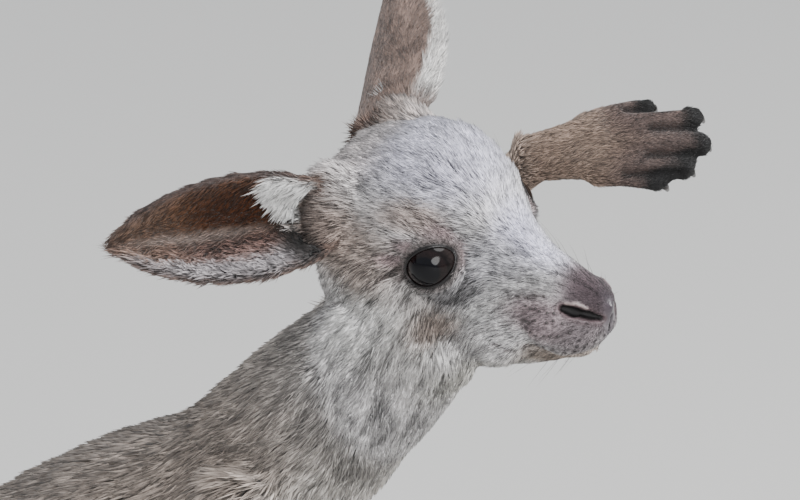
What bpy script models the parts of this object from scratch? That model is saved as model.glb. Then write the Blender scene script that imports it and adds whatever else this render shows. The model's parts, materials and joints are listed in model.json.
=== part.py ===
"""A young grey kangaroo, life size, standing on its hind feet and tail with its left forepaw raised.

Run with: blender --background --python part.py
Units are metres, +Z is up and the animal faces +X, so its left side is +Y. Sizes below are in
millimetres and are scaled once, by MM. The outline is the tips of the coat.

The flesh is modelled whole, from rounded forms laid along the bones, closed into one surface and
then parted into its named pieces by thin cuts. Ears, eyes and claws are pieces of their own.
"""

import math

import bmesh
import bpy
from mathutils import Euler, Matrix, Vector

MM = 0.001
GAP = 0.3            # between neighbouring pieces
VOXEL = 1.2          # grain of the closed surface
SMOOTHING = 10       # passes that round off the creases between the masses
FLESH_FACES = 3700   # triangles left on all of the flesh
SIDES = {"right": -1, "left": 1}

# ---- where the animal's joints are, in mm ----
HEAD_AT = (130, 0, 396)      # midway between the eyes
HEAD_YAW, HEAD_PITCH, HEAD_ROLL = -10, 8, 14
SHOULDER = (60, 24, 312)
HIP = (-60, 35, 202)
KNEE = (40, 54, 164)
ANKLE = (-95, 44, 22)
TOE_BASE = (24, 48, 9)
THIGH_CUT_AT, THIGH_CUT = (-2, 90, 180), (104, 64, 68)
TRUNK_PATH = [(-112, 0, 184), (-82, 0, 206), (-44, 0, 236), (-2, 0, 266), (36, 0, 292), (64, 0, 314)]
NECK_PATH = [(46, 0, 300), (74, 0, 330), (98, 0, 354), (116, -2, 374)]
TAIL_PATH = [(-100, 0, 190), (-146, 1, 136), (-188, 4, 74), (-234, 8, 31), (-284, 13, 11),
             (-344, 18, 6), (-408, 20, 4)]


def smooth_between(values, share):
    """Value at share (0 to 1) on a smooth curve through evenly spaced numbers or points."""
    last = len(values) - 1
    place = min(max(share, 0.0), 1.0) * last
    i = min(int(place), last - 1)
    t = place - i
    p0, p1, p2, p3 = (values[min(max(i + k, 0), last)] for k in (-1, 0, 1, 2))
    return (p1 * 2 + (p2 - p0) * t + (p0 * 2 - p1 * 5 + p2 * 4 - p3) * (t * t)
            + (p1 * 3 - p0 - p2 * 3 + p3) * (t * t * t)) * 0.5


def table_at(table, x):
    """Row of numbers at x, eased between the rows of a table whose first column is x."""
    if x <= table[0][0]:
        return table[0][1:]
    for low, high in zip(table, table[1:]):
        if x <= high[0]:
            t = (x - low[0]) / (high[0] - low[0])
            return tuple(a + (b - a) * t for a, b in zip(low[1:], high[1:]))
    return table[-1][1:]


def smooth_table(table, x):
    """As table_at, but averaged over a short reach, so that the outline has no corners."""
    reach = 0.045
    rows = [table_at(table, x + k * reach) for k in (-1, -0.5, 0, 0.5, 1)]
    return tuple(sum(column) / len(rows) for column in zip(*rows))


def superpower(value, power):
    return math.copysign(abs(value) ** power, value)


def new_object(name, bm):
    mesh = bpy.data.meshes.new(name)
    bm.normal_update()
    bm.to_mesh(mesh)
    bm.free()
    obj = bpy.data.objects.new(name, mesh)
    bpy.context.scene.collection.objects.link(obj)
    return obj


def form(path, stations, side=(0, 1, 0), squareness=2.0, segments=28, rings=30):
    """A closed round form along a path: a sphere whose rings are set across the path.

    stations holds rows of (share of the path, half width, height above, depth below), in mm.
    """
    bm = bmesh.new()
    bmesh.ops.create_uvsphere(bm, u_segments=segments, v_segments=rings, radius=1)
    points = [Vector(p) for p in path]
    across = Vector(side)
    cap = 0.1
    for v in bm.verts:
        share = (1 - v.co.z) / 2
        ring = math.hypot(v.co.x, v.co.y)
        angle = math.atan2(v.co.y, v.co.x)
        width, above, below = smooth_table(stations, share)
        near_end = min(share, 1 - share)
        rounding = math.sqrt(max(0.0, 1 - (1 - min(near_end / cap, 1)) ** 2))
        along = (smooth_between(points, share + 0.01) - smooth_between(points, share - 0.01)).normalized()
        wide = (across - along * across.dot(along)).normalized()
        high = along.cross(wide)
        if ring < 1e-6:
            rounding = 0.0
        sideways = superpower(math.sin(angle), 2 / squareness) * width
        upright = superpower(math.cos(angle), 2 / squareness)
        upright *= above if upright > 0 else below
        v.co = smooth_between(points, share) + (wide * sideways + high * upright) * rounding
    bmesh.ops.recalc_face_normals(bm, faces=bm.faces)
    return bm


def lump(centre, radii, turn=(0, 0, 0)):
    """An ellipsoid mass, such as a cheek, with its turn in degrees."""
    bm = bmesh.new()
    bmesh.ops.create_uvsphere(bm, u_segments=20, v_segments=14, radius=1)
    rotation = Euler([math.radians(a) for a in turn]).to_matrix().to_4x4()
    bm.transform(Matrix.Translation(centre) @ rotation @ Matrix.Diagonal((*radii, 1)))
    return bm


def placed(bm, matrix):
    bm.transform(matrix)
    return bm


def joined(pieces):
    """One bmesh that holds all the pieces."""
    whole = bmesh.new()
    for bm in pieces:
        piece = bpy.data.meshes.new("piece")
        bm.to_mesh(piece)
        bm.free()
        whole.from_mesh(piece)
        bpy.data.meshes.remove(piece)
    return whole


def mirrored(point, sign):
    return (point[0], point[1] * sign, point[2])


# ---- head ----
HEAD = (Matrix.Translation(HEAD_AT) @ Matrix.Rotation(math.radians(HEAD_YAW), 4, "Z")
        @ Matrix.Rotation(math.radians(HEAD_PITCH), 4, "Y")
        @ Matrix.Rotation(math.radians(HEAD_ROLL), 4, "X"))
HEAD_BACK, NOSE_TIP = -52.0, 55.0
EYE_AT, EYE_RADIUS = (-0.5, 19.8, 1.0), 10.8
# x forward of the eyes, half width, top, height of the widest line, bottom
HEAD_ROWS = [
    (-52, 27, 17, -9, -40),
    (-38, 31, 29, -8, -48),
    (-24, 33, 36, -9, -52),
    (-10, 31.5, 36, -11, -54),
    (2, 27, 29, -12, -52),
    (14, 17, 13, -14, -47.5),
    (26, 12.8, 4.2, -15, -42),
    (37, 12, 0, -15, -35),
    (47, 11, -4.3, -15, -30),
    (55, 9.3, -9.5, -15.5, -25.5),
]


def skull():
    length = NOSE_TIP - HEAD_BACK
    path = [(HEAD_BACK + length * k / 8, 0, 0) for k in range(9)]
    middles = [((x - HEAD_BACK) / length, middle) for x, _, _, middle, _ in HEAD_ROWS]
    path = [(x, 0, smooth_table(middles, (x - HEAD_BACK) / length)[0]) for x, _, _ in path]
    stations = [((x - HEAD_BACK) / length, wide, top - middle, middle - bottom)
                for x, wide, top, middle, bottom in HEAD_ROWS]
    return form(path, stations, squareness=2.15, segments=36, rings=40)


def head_masses():
    yield skull()
    yield lump((45.5, 0, -11.8), (10.5, 8.2, 7.8))   # end of the nose
    yield lump((36, 0, -28), (15, 9, 6))             # chin
    for sign in SIDES.values():
        yield lump((-3, 21 * sign, 9.5), (12, 6, 7), (0, 0, -16 * sign))      # brow
        yield lump((-17, 22 * sign, -25), (20, 13, 20))                       # cheek
        yield lump((-12, 14 * sign, -40), (23, 11.5, 16.5))                   # jowl
        yield lump((12, 11 * sign, -29), (16, 9.5, 12))                       # side of the jaw
        yield lump((39, 8 * sign, -19), (13, 8, 9.5), (0, 12, -8 * sign))     # whisker pad
        yield lump((-39, 22 * sign, 12), (13, 11, 14))                        # root of the ear
    yield lump((-46, 25, 13), (12, 12, 12))          # muscle that swings the left ear up
    yield lump((-38, -28, 7), (10, 9, 11))           # muscle under the right ear


# ---- ears ----
EAR_LENGTH, EAR_WIDTH, EAR_THICKNESS = 82, 23, 2.6
EARS = {  # root, direction of the tip and direction that the cup opens to, in the head's frame
    "left": ((-51, 20, 12), (-0.43, 0.88, 0.20), (0.60, 0.25, -0.75)),
    "right": ((-41, -25, 7), (-0.38, -0.90, 0.20), (0.75, -0.25, 0.40)),
}


def ear_sheet(side):
    """The ear's blade: a long leaf, rolled to a tube at its root and cupped towards its tip."""
    root, tip_way, open_way = (Vector(v) for v in EARS[side])
    along = tip_way.normalized()
    opening = (open_way - along * open_way.dot(along)).normalized()
    across = opening.cross(along)
    bm = bmesh.new()
    bmesh.ops.create_grid(bm, x_segments=9, y_segments=8, size=1)
    for v in bm.verts:
        u, edge = (v.co.x + 1) / 2, v.co.y
        leaf = EAR_WIDTH * (0.88 + 0.14 * math.sin(math.pi * u)) * math.sqrt(max(1 - u ** 2.7, 0.012))
        roll = math.radians(58 + 58 * (1 - u) ** 3)
        radius = leaf / roll
        turn = edge * roll
        back = 7 - 10 * u + 9 * u * u
        v.co = (root + along * (EAR_LENGTH * u) + across * (radius * math.sin(turn))
                + opening * (radius * (1 - math.cos(turn)) - back))
    bmesh.ops.recalc_face_normals(bm, faces=bm.faces)
    return bm


# ---- limbs ----
PALM_LENGTH = 24
ARMS = {  # elbow, wrist, and the paw's turn: roll, pitch and yaw in degrees
    "right": {"elbow": (52, -62, 250), "wrist": (106, -44, 212), "turn": (10, 68, 8)},
    "left": {"elbow": (62, 88, 360), "wrist": (127, 64, 406), "turn": (58, -8, 22)},
}
# each finger, thumb first: sideways place of its root, its tip along the paw and sideways, half width
FINGERS = [(-7.5, 42, -12.8, 3.7), (-4, 51.5, -9, 4.6), (1, 58, -0.8, 5.0), (6, 57, 9.5, 4.7),
           (10.5, 41.5, 15.5, 3.7)]
FINGERTIP = (1.25, 1.08, 1.1)   # rounded pad and hair at a finger's end, in its own half widths
CLAW_LENGTH = 8


def paw_matrix(side):
    roll, pitch, yaw = (math.radians(a) for a in ARMS[side]["turn"])
    return Matrix.Translation(ARMS[side]["wrist"]) @ Euler((roll, pitch, yaw)).to_matrix().to_4x4()


def finger_path(finger, sign):
    """Root, knuckle and tip of a finger, in the paw's frame: x to the tips, z to the paw's back."""
    root_y, tip_x, tip_y, _ = finger
    root = Vector((PALM_LENGTH - 4 - abs(root_y) * 0.5, root_y * sign, 0))
    tip = Vector((tip_x, tip_y * sign, -4.5))
    knuckle = root.lerp(tip, 0.5) + Vector((0, 0, 2.6))
    return [root, knuckle, tip]


def arm_masses(side):
    sign = SIDES[side]
    arm = ARMS[side]
    shoulder = mirrored(SHOULDER, sign)
    yield form([shoulder, arm["elbow"]], [(0, 17, 19, 19), (0.35, 14.5, 16, 16), (0.8, 10.5, 11.5, 11.5),
               (1, 9, 10, 10)], rings=20)
    yield form([arm["elbow"], arm["wrist"]], [(0, 10, 11, 11), (0.3, 10.5, 11.5, 11.5), (0.8, 8, 7.5, 7.5),
               (1, 8.5, 7, 7)], rings=20)
    paw = paw_matrix(side)
    yield placed(form([(-9, 0.5 * sign, 0), (8, 1.5 * sign, 0.5), (PALM_LENGTH, 2 * sign, 0)],
                      [(0, 7.2, 6.5, 6.5), (0.5, 9.4, 6.8, 6.4), (1, 12.8, 6, 5.6)], squareness=2.5), paw)
    for finger in FINGERS:
        thick = finger[3]
        stations = [(0, thick, thick, thick), (1, thick * 0.92, thick, thick)]
        fingers = finger_path(finger, sign)
        yield placed(form(fingers, stations, segments=14, rings=16), paw)
        yield placed(lump(fingers[1].lerp(fingers[2], 0.85), Vector(FINGERTIP) * thick), paw)


def leg_masses(sign):
    hip, knee, ankle, toe_base = (mirrored(p, sign) for p in (HIP, KNEE, ANKLE, TOE_BASE))
    thigh_top = (hip[0] - 28, hip[1], hip[2] + 8)
    thigh_middle = ((hip[0] + knee[0]) / 2, (hip[1] + knee[1]) / 2, 188)
    yield form([thigh_top, hip, thigh_middle, (knee[0] + 6, knee[1], knee[2])],
               [(0, 18, 30, 30), (0.25, 27, 45, 44), (0.5, 28, 46, 46), (0.75, 22, 33, 36), (1, 15, 19, 24)])
    shank_middle = ((knee[0] + ankle[0]) / 2 + 2, (knee[1] + ankle[1]) / 2, (knee[2] + ankle[2]) / 2 - 6)
    yield form([knee, shank_middle, ankle],
               [(0, 15, 18, 21), (0.25, 14, 17, 19), (0.55, 11, 12.5, 12.5), (0.85, 8.5, 9.5, 10),
                (1, 9, 10, 11)])
    heel = (ankle[0] - 12, ankle[1], 9)
    yield form([heel, (ankle[0] + 28, ankle[1] + sign, 9), toe_base],
               [(0, 9, 11, 11), (0.2, 10, 12, 11), (0.6, 10.5, 9.5, 11), (1, 12.5, 8, 11)], squareness=2.4)
    for toe in toes(sign):
        yield form(toe["path"], toe["stations"], squareness=2.2, segments=16, rings=18)


def toes(sign):
    """The big fourth toe, the outer fifth and the slim joined second and third on the inner side."""
    x, y, z = mirrored(TOE_BASE, sign)
    return [
        {"name": "fourth",
         "path": [(x - 14, y, z), (x + 18, y + 2 * sign, 8.2), (x + 40, y + 3 * sign, 6)],
         "stations": [(0, 9, 7, 9), (0.5, 7.6, 6.5, 8), (1, 6, 5, 7)], "claw": 17, "thick": 3.6},
        {"name": "fifth",
         "path": [(x - 22, y + 7 * sign, 7), (x - 4, y + 12 * sign, 6.6), (x + 14, y + 15 * sign, 5)],
         "stations": [(0, 6, 5, 7), (0.5, 5.2, 5, 6), (1, 4.2, 4, 5.4)], "claw": 10, "thick": 2.5},
        {"name": "third",
         "path": [(x - 26, y - 7 * sign, 8), (x - 10, y - 11.4 * sign, 7.4), (x + 2, y - 12.4 * sign, 6)],
         "stations": [(0, 4, 4, 5), (0.5, 3.4, 3.6, 4.4), (1, 3, 3.2, 4)], "claw": 6, "thick": 1.6},
    ]


# ---- trunk, neck and tail ----
def trunk_masses():
    yield form(TRUNK_PATH, [(0, 30, 26, 24), (0.15, 46, 38, 38), (0.35, 56, 44, 58), (0.6, 51, 42, 58),
                            (0.8, 40, 35, 47), (1, 28, 27, 34)], rings=36)
    yield form(NECK_PATH, [(0, 34, 31, 38), (0.4, 30, 28, 34), (0.75, 25.5, 26, 29), (1, 23, 24, 26)])
    yield form(TAIL_PATH, [(0, 26, 26, 26), (0.12, 21, 22, 22), (0.3, 14.5, 15, 15), (0.55, 10, 10, 10.5),
                           (0.8, 7.6, 7.5, 8.5), (1, 5.5, 5, 7)], rings=44)


def with_modifier(obj, kind, **values):
    modifier = obj.modifiers.new(kind.title(), kind)
    for key, value in values.items():
        setattr(modifier, key, value)
    return modifier


def baked(obj):
    """Puts the object's modifiers into its mesh."""
    graph = bpy.context.evaluated_depsgraph_get()
    mesh = bpy.data.meshes.new_from_object(obj.evaluated_get(graph))
    obj.modifiers.clear()
    obj.data = mesh
    return obj


def whole_flesh():
    """Every mass, closed into one surface, smoothed and thinned out."""
    masses = [placed(bm, HEAD) for bm in head_masses()]
    masses += trunk_masses()
    for side, sign in SIDES.items():
        masses += arm_masses(side)
        masses += leg_masses(sign)
    flesh = new_object("flesh", joined(masses))
    with_modifier(flesh, "REMESH", mode="VOXEL", voxel_size=VOXEL)
    with_modifier(flesh, "SMOOTH", factor=0.5, iterations=SMOOTHING)
    baked(flesh)
    triangles = sum(len(p.vertices) - 2 for p in flesh.data.polygons)
    with_modifier(flesh, "DECIMATE", ratio=FLESH_FACES / triangles, use_collapse_triangulate=True)
    return baked(flesh)


def boolean(obj, operation, other):
    with_modifier(obj, "BOOLEAN", operation=operation, solver="EXACT", object=other)
    baked(obj)


def box(centre, size, turn=(0, 0, 0), grow=0.0):
    bm = bmesh.new()
    bmesh.ops.create_cube(bm, size=1)
    rotation = Euler([math.radians(a) for a in turn]).to_matrix().to_4x4()
    sizes = [s + 2 * grow for s in size]
    bm.transform(Matrix.Translation(centre) @ rotation @ Matrix.Diagonal((*sizes, 1)))
    return new_object("cutter", bm)


def slab(start, end, share, wide, high=None):
    """A thin cut across a bone, at a share of the way along it, by its half width and half height."""
    a, b = Vector(start), Vector(end)
    turn = [math.degrees(x) for x in (b - a).to_track_quat("X", "Z").to_euler()]
    return box(a.lerp(b, share), (GAP, wide * 2, (high or wide) * 2), turn)


def thigh_shell(sign):
    """A thin curved cut round a thigh, where it lies against the belly."""
    inner = lump(mirrored(THIGH_CUT_AT, sign), THIGH_CUT, (0, 22, 0))
    outer = lump(mirrored(THIGH_CUT_AT, sign), [r + GAP for r in THIGH_CUT], (0, 22, 0))
    bmesh.ops.reverse_faces(inner, faces=inner.faces)
    return new_object("cutter", joined([inner, outer]))


def cuts():
    """Every thin cut between two named pieces of flesh."""
    for side, sign in SIDES.items():
        arm = ARMS[side]
        paw = paw_matrix(side)
        yield slab(paw @ Vector((-5, 0, 0)), paw @ Vector((30, 0, 0)), 0, 15)
        yield slab(arm["elbow"], arm["wrist"], 0.13, 19)
        yield slab(mirrored(SHOULDER, sign), arm["elbow"], 0.66, 18)
        knee, ankle, toe_base = (mirrored(p, sign) for p in (KNEE, ANKLE, TOE_BASE))
        yield slab(ankle, toe_base, 0.82, 21)
        yield slab(knee, ankle, 0.93, 18)
        yield thigh_shell(sign)
    tail = [Vector(p) for p in TAIL_PATH]
    yield slab(tail[0], tail[1], 0.3, 32)
    yield slab(tail[2], tail[3], 0.3, 20)
    yield slab(tail[4], tail[5], 0.4, 16)
    neck = [Vector(p) for p in NECK_PATH]
    yield slab(HEAD @ Vector((-42, 0, -28)), HEAD @ Vector((-33.5, 0, -22.7)), 0, 50, 68)
    yield slab(neck[1], neck[2], 0.12, 38, 46)


def labels():
    """A point inside each piece of flesh, by the piece's name."""
    points = {"head": HEAD_AT, "neck": NECK_PATH[1], "trunk": TRUNK_PATH[3], "tail_root": TAIL_PATH[1],
              "tail_middle": TAIL_PATH[3], "tail_tip": TAIL_PATH[5]}
    for side, sign in SIDES.items():
        arm = ARMS[side]
        shoulder, knee, ankle, toe_base = (mirrored(p, sign) for p in (SHOULDER, KNEE, ANKLE, TOE_BASE))
        points[f"forepaw_{side}"] = paw_matrix(side) @ Vector((20, 0, 0))
        points[f"forearm_{side}"] = Vector(arm["elbow"]).lerp(Vector(arm["wrist"]), 0.5)
        points[f"upper_arm_{side}"] = Vector(shoulder).lerp(Vector(arm["elbow"]), 0.8)
        points[f"thigh_{side}"] = mirrored((0, 60, 176), sign)
        points[f"shank_{side}"] = Vector(knee).lerp(Vector(ankle), 0.6)
        points[f"foot_{side}"] = Vector(ankle).lerp(Vector(toe_base), 0.3)
        points[f"toes_{side}"] = (toe_base[0] + 20, toe_base[1], 8)
    return points


def loose_parts(obj):
    """Each separate body of an object as an object of its own."""
    bm = bmesh.new()
    bm.from_mesh(obj.data)
    number = {}
    for start in bm.verts:
        if start in number:
            continue
        waiting, label = [start], len(set(number.values()))
        number[start] = label
        while waiting:
            for edge in waiting.pop().link_edges:
                for v in edge.verts:
                    if v not in number:
                        number[v] = label
                        waiting.append(v)
    parts = []
    for label in set(number.values()):
        part = bm.copy()
        part.verts.ensure_lookup_table()
        others = [part.verts[v.index] for v, other in number.items() if other != label]
        bmesh.ops.delete(part, geom=others, context="VERTS")
        parts.append(new_object("part", part))
    bm.free()
    return sorted(parts, key=lambda part: -len(part.data.vertices))


def parted(flesh):
    """Parts the flesh by its cuts and names each piece by the label that lies nearest to it."""
    for cutter in cuts():
        boolean(flesh, "DIFFERENCE", cutter)
        bpy.data.objects.remove(cutter)
    places = labels()
    parts = loose_parts(flesh)
    bpy.data.objects.remove(flesh)
    nodes = {}
    for part in parts:
        middle = sum((v.co for v in part.data.vertices), Vector()) / len(part.data.vertices)
        nearest = sorted(places, key=lambda name: (Vector(places[name]) - middle).length)[0]
        if nearest in nodes:
            raise RuntimeError(f"the cuts leave two pieces near {nearest}")
        part.name = nearest
        nodes[nearest] = part
    return nodes


def less(piece, body_parts, gap=GAP):
    """Takes the body, grown by the gap, out of a piece that is rooted in it."""
    for body in body_parts:
        grown = body.copy()
        grown.data = body.data.copy()
        bpy.context.scene.collection.objects.link(grown)
        bm = bmesh.new()
        bm.from_mesh(grown.data)
        for v in bm.verts:
            v.co += v.normal * gap
        bm.to_mesh(grown.data)
        bm.free()
        boolean(piece, "DIFFERENCE", grown)
        bpy.data.objects.remove(grown)


def keep_largest(obj):
    """Leaves only the biggest body of a piece."""
    largest, *rest = loose_parts(obj)
    obj.data = largest.data
    for part in (largest, *rest):
        bpy.data.objects.remove(part)


def make_ears(nodes):
    for side in SIDES:
        ear = new_object(f"ear_{side}", placed(ear_sheet(side), HEAD))
        with_modifier(ear, "SOLIDIFY", thickness=EAR_THICKNESS, offset=0)
        baked(ear)
        less(ear, [nodes["head"]])
        keep_largest(ear)
        nodes[ear.name] = ear


def make_eyes(nodes):
    """Eyeballs in their sockets, which are cut a little larger."""
    for side, sign in SIDES.items():
        centre = HEAD @ Vector(mirrored(EYE_AT, sign))
        ball, socket = bmesh.new(), bmesh.new()
        bmesh.ops.create_uvsphere(ball, u_segments=14, v_segments=10, radius=EYE_RADIUS)
        bmesh.ops.create_uvsphere(socket, u_segments=14, v_segments=10, radius=EYE_RADIUS + GAP)
        for bm in (ball, socket):
            bm.transform(Matrix.Translation(centre) @ HEAD.to_3x3().to_4x4()
                         @ Matrix.Rotation(math.pi / 2, 4, "X"))
        cutter = new_object("socket", socket)
        boolean(nodes["head"], "DIFFERENCE", cutter)
        bpy.data.objects.remove(cutter)
        nodes[f"eye_{side}"] = new_object(f"eye_{side}", ball)


def claw(root, way, down, length, thick):
    """A curved cone from its root, bending downward to a blunt point."""
    way, down = Vector(way).normalized(), Vector(down).normalized()
    path = [Vector(root) + way * (length * t) + down * (length * 0.22 * t * t) for t in (0, 0.35, 0.7, 1)]
    return form(path, [(0, thick, thick, thick), (0.5, thick * 0.75, thick * 0.8, thick * 0.7),
                       (1, 0.5, 0.5, 0.5)], side=way.cross(down), segments=6, rings=6)


def make_claws(nodes):
    """Five claws on each forepaw and three on each hind foot, each one a piece of its own."""
    for side, sign in SIDES.items():
        paw = paw_matrix(side)
        down = paw.to_3x3() @ Vector((0, 0, -1))
        for number, finger in enumerate(FINGERS, start=1):
            _, knuckle, tip = (paw @ p for p in finger_path(finger, sign))
            way = (tip - knuckle).normalized()
            bend = (way * 0.5 + down * 0.85).normalized()
            piece = new_object(f"claw_{side}_{number}", claw(tip - bend, bend, down - way, CLAW_LENGTH, 1.6))
            less(piece, [nodes[f"forepaw_{side}"]])
            keep_largest(piece)
            nodes[piece.name] = piece
        for toe in toes(sign):
            tip, before = Vector(toe["path"][-1]), Vector(toe["path"][-2])
            way = tip - before
            way.z = 0
            way.normalize()
            root = tip - way * 3
            root.z = toe["thick"] + 2.0
            piece = new_object(f"toe_claw_{side}_{toe['name']}",
                               claw(root, way, (0, 0, -1), toe["claw"], toe["thick"]))
            less(piece, [nodes[f"toes_{side}"]])
            keep_largest(piece)
            nodes[piece.name] = piece


def flatten_soles(flesh):
    """Cuts the feet and the tail flat where they rest."""
    floor = box((0, 0, -50), (900, 400, 100))
    boolean(flesh, "DIFFERENCE", floor)
    bpy.data.objects.remove(floor)


MATERIALS = {  # colour, roughness
    "coat": ((0.36, 0.32, 0.29), 0.9),
    "dark coat": ((0.09, 0.07, 0.06), 0.85),
    "eye": ((0.012, 0.009, 0.008), 0.08),
    "claw": ((0.035, 0.03, 0.028), 0.4),
}


def material_for(name):
    if name.startswith("eye"):
        return "eye"
    if "claw" in name:
        return "claw"
    if name.startswith(("forepaw", "toes")):
        return "dark coat"
    return "coat"


def paint(nodes):
    for name, (colour, roughness) in MATERIALS.items():
        material = bpy.data.materials.new(name)
        material.use_nodes = True
        shader = material.node_tree.nodes["Principled BSDF"]
        shader.inputs["Base Color"].default_value = (*colour, 1)
        shader.inputs["Roughness"].default_value = roughness
    for name, obj in nodes.items():
        obj.data.materials.clear()
        obj.data.materials.append(bpy.data.materials[material_for(name)])


def to_metres(nodes):
    """Scales to metres and sets the origin at the middle of the box's underside."""
    points = [v.co for obj in nodes.values() for v in obj.data.vertices]
    low = Vector([min(p[k] for p in points) for k in range(3)])
    high = Vector([max(p[k] for p in points) for k in range(3)])
    middle = Vector(((low.x + high.x) / 2, (low.y + high.y) / 2, low.z))
    matrix = Matrix.Scale(MM, 4) @ Matrix.Translation(-middle)
    for obj in nodes.values():
        obj.data.transform(matrix)
        obj.data.update()
    print("shift in mm", [round(-x, 2) for x in middle])


def main():
    for obj in list(bpy.data.objects):
        bpy.data.objects.remove(obj)
    flesh = whole_flesh()
    flatten_soles(flesh)
    nodes = parted(flesh)
    make_eyes(nodes)
    make_ears(nodes)
    make_claws(nodes)
    paint(nodes)
    to_metres(nodes)
    total = 0
    for name, obj in nodes.items():
        obj.data.calc_loop_triangles()
        total += len(obj.data.loop_triangles)
        print(name, len(obj.data.loop_triangles))
    print("triangles", total)


main()
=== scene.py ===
# %% [markdown]
# # A young grey kangaroo, life size
#
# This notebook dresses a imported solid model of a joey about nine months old. The solids give the
# outline out to the tips of the coat. Here they get one seamless skin, wet eyes with lids, a nose
# with nostrils, horny claws, and a coat of small solid tufts that lie the way real fur lies.

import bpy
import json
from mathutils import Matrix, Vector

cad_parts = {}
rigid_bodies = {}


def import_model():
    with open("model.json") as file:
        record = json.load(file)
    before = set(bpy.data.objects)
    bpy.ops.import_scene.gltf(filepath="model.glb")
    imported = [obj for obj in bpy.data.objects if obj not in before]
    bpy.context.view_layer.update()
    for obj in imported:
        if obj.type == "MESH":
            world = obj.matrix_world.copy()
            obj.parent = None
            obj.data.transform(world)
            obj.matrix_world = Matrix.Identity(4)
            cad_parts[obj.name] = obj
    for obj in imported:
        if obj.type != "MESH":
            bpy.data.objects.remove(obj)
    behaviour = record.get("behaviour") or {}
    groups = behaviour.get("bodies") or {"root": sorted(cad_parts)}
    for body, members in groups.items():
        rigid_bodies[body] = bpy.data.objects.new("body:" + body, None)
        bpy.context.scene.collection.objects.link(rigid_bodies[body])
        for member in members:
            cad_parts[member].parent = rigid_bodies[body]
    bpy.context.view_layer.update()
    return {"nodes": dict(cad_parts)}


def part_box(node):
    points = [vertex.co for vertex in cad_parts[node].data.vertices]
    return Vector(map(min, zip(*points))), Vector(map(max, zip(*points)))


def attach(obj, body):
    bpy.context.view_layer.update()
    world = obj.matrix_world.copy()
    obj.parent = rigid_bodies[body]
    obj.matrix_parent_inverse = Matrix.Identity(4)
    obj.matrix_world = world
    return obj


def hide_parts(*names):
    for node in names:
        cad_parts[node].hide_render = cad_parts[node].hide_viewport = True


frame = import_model()
nodes = frame["nodes"]

# %% [markdown]
# ## Tools for whole meshes
#
# A skin has a hundred thousand points, too many to visit one by one in Python. The helpers here
# read a mesh into NumPy arrays, work on all of its points at once, and write them back. Relaxing
# moves every value a little towards its neighbours' mean, which smooths shapes and fields alike.

# %% Reading, relaxing and writing meshes
import itertools
import json
import math

import bmesh
import bpy
import numpy as np
from mathutils import Matrix, Vector, kdtree

MM = 0.001
SIDES = {"right": -1, "left": 1}
random = np.random.default_rng(11)


def points_of(mesh, what="co"):
    """The places, or another vector, of all points of a mesh as rows of an array."""
    values = np.empty(len(mesh.vertices) * 3, np.float32)
    mesh.vertices.foreach_get(what, values)
    return values.reshape(-1, 3).astype(float)


def move_points(mesh, points):
    """Writes new places to all points of a mesh."""
    mesh.vertices.foreach_set("co", points.astype(np.float32).ravel())
    mesh.update()


def edges_of(mesh):
    """The two points of every edge, as rows."""
    pairs = np.empty(len(mesh.edges) * 2, np.int32)
    mesh.edges.foreach_get("vertices", pairs)
    return pairs.reshape(-1, 2)


def relax(values, edges, passes, share=0.5):
    """Moves every value share of the way to the mean of its neighbours, as often as passes says."""
    values = np.array(values, float)
    flat = values.reshape(len(values), -1)
    one, two = edges[:, 0], edges[:, 1]
    count = np.bincount(edges.ravel(), minlength=len(flat))
    for _ in range(passes):
        for column in range(flat.shape[1]):
            line = flat[:, column]
            total = np.bincount(one, line[two], len(flat)) + np.bincount(two, line[one], len(flat))
            mean = total / np.maximum(count, 1)
            flat[:, column] = line + (mean - line) * share
    return flat.reshape(values.shape)


def unit(rows):
    """The same directions, all one long."""
    return rows / np.maximum(np.linalg.norm(rows, axis=-1, keepdims=True), 1e-12)


def new_piece(name, bm):
    """Turns a bmesh into an object at the origin and frees the bmesh."""
    mesh = bpy.data.meshes.new(name)
    bm.to_mesh(mesh)
    bm.free()
    piece = bpy.data.objects.new(name, mesh)
    bpy.context.scene.collection.objects.link(piece)
    return piece


def apply_modifiers(piece):
    """Gives a piece the mesh that its modifiers make of it."""
    graph = bpy.context.evaluated_depsgraph_get()
    mesh = bpy.data.meshes.new_from_object(piece.evaluated_get(graph))
    piece.modifiers.clear()
    old, piece.data = piece.data, mesh
    bpy.data.meshes.remove(old)
    return mesh


def dress(piece, material):
    """Gives a piece its material and smooth shading."""
    piece.data.materials.append(material)
    piece.data.polygons.foreach_set("use_smooth", [True] * len(piece.data.polygons))


def cloudy(points, size, seed):
    """Smooth random values from -1 to 1 that change over about size metres."""
    place = points / size + seed * 7.31
    cell = np.floor(place).astype(np.int64)
    part = place - cell
    part = part * part * (3 - 2 * part)
    total = np.zeros(len(points))
    for corner in itertools.product((0, 1), repeat=3):
        key = (cell + corner) * (73856093, 19349663, 83492791)
        mixed = (key[:, 0] ^ key[:, 1] ^ key[:, 2]) % 1000003
        value = (mixed * 7919 % 65537) / 32768.5 - 1
        total += value * np.prod(np.where(corner, part, 1 - part), axis=1)
    return total


print("relaxed:", relax([0, 0, 1.0], np.array([[0, 1], [1, 2]]), 1))

# %% [markdown]
# ## The head's own frame
#
# The head is turned and tilted on the neck, so places on the face are easiest to give in its own
# axes: forward along the nose, left and up, in millimetres from the point between the eyes. The
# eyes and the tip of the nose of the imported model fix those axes. A place with a plus sideways
# value stands for both sides of the face, because the helper folds the right side over the left.

# %% Axes of the head
NOSE_DROP = math.radians(11.16)  # how far below straight ahead the tip of the nose lies

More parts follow.
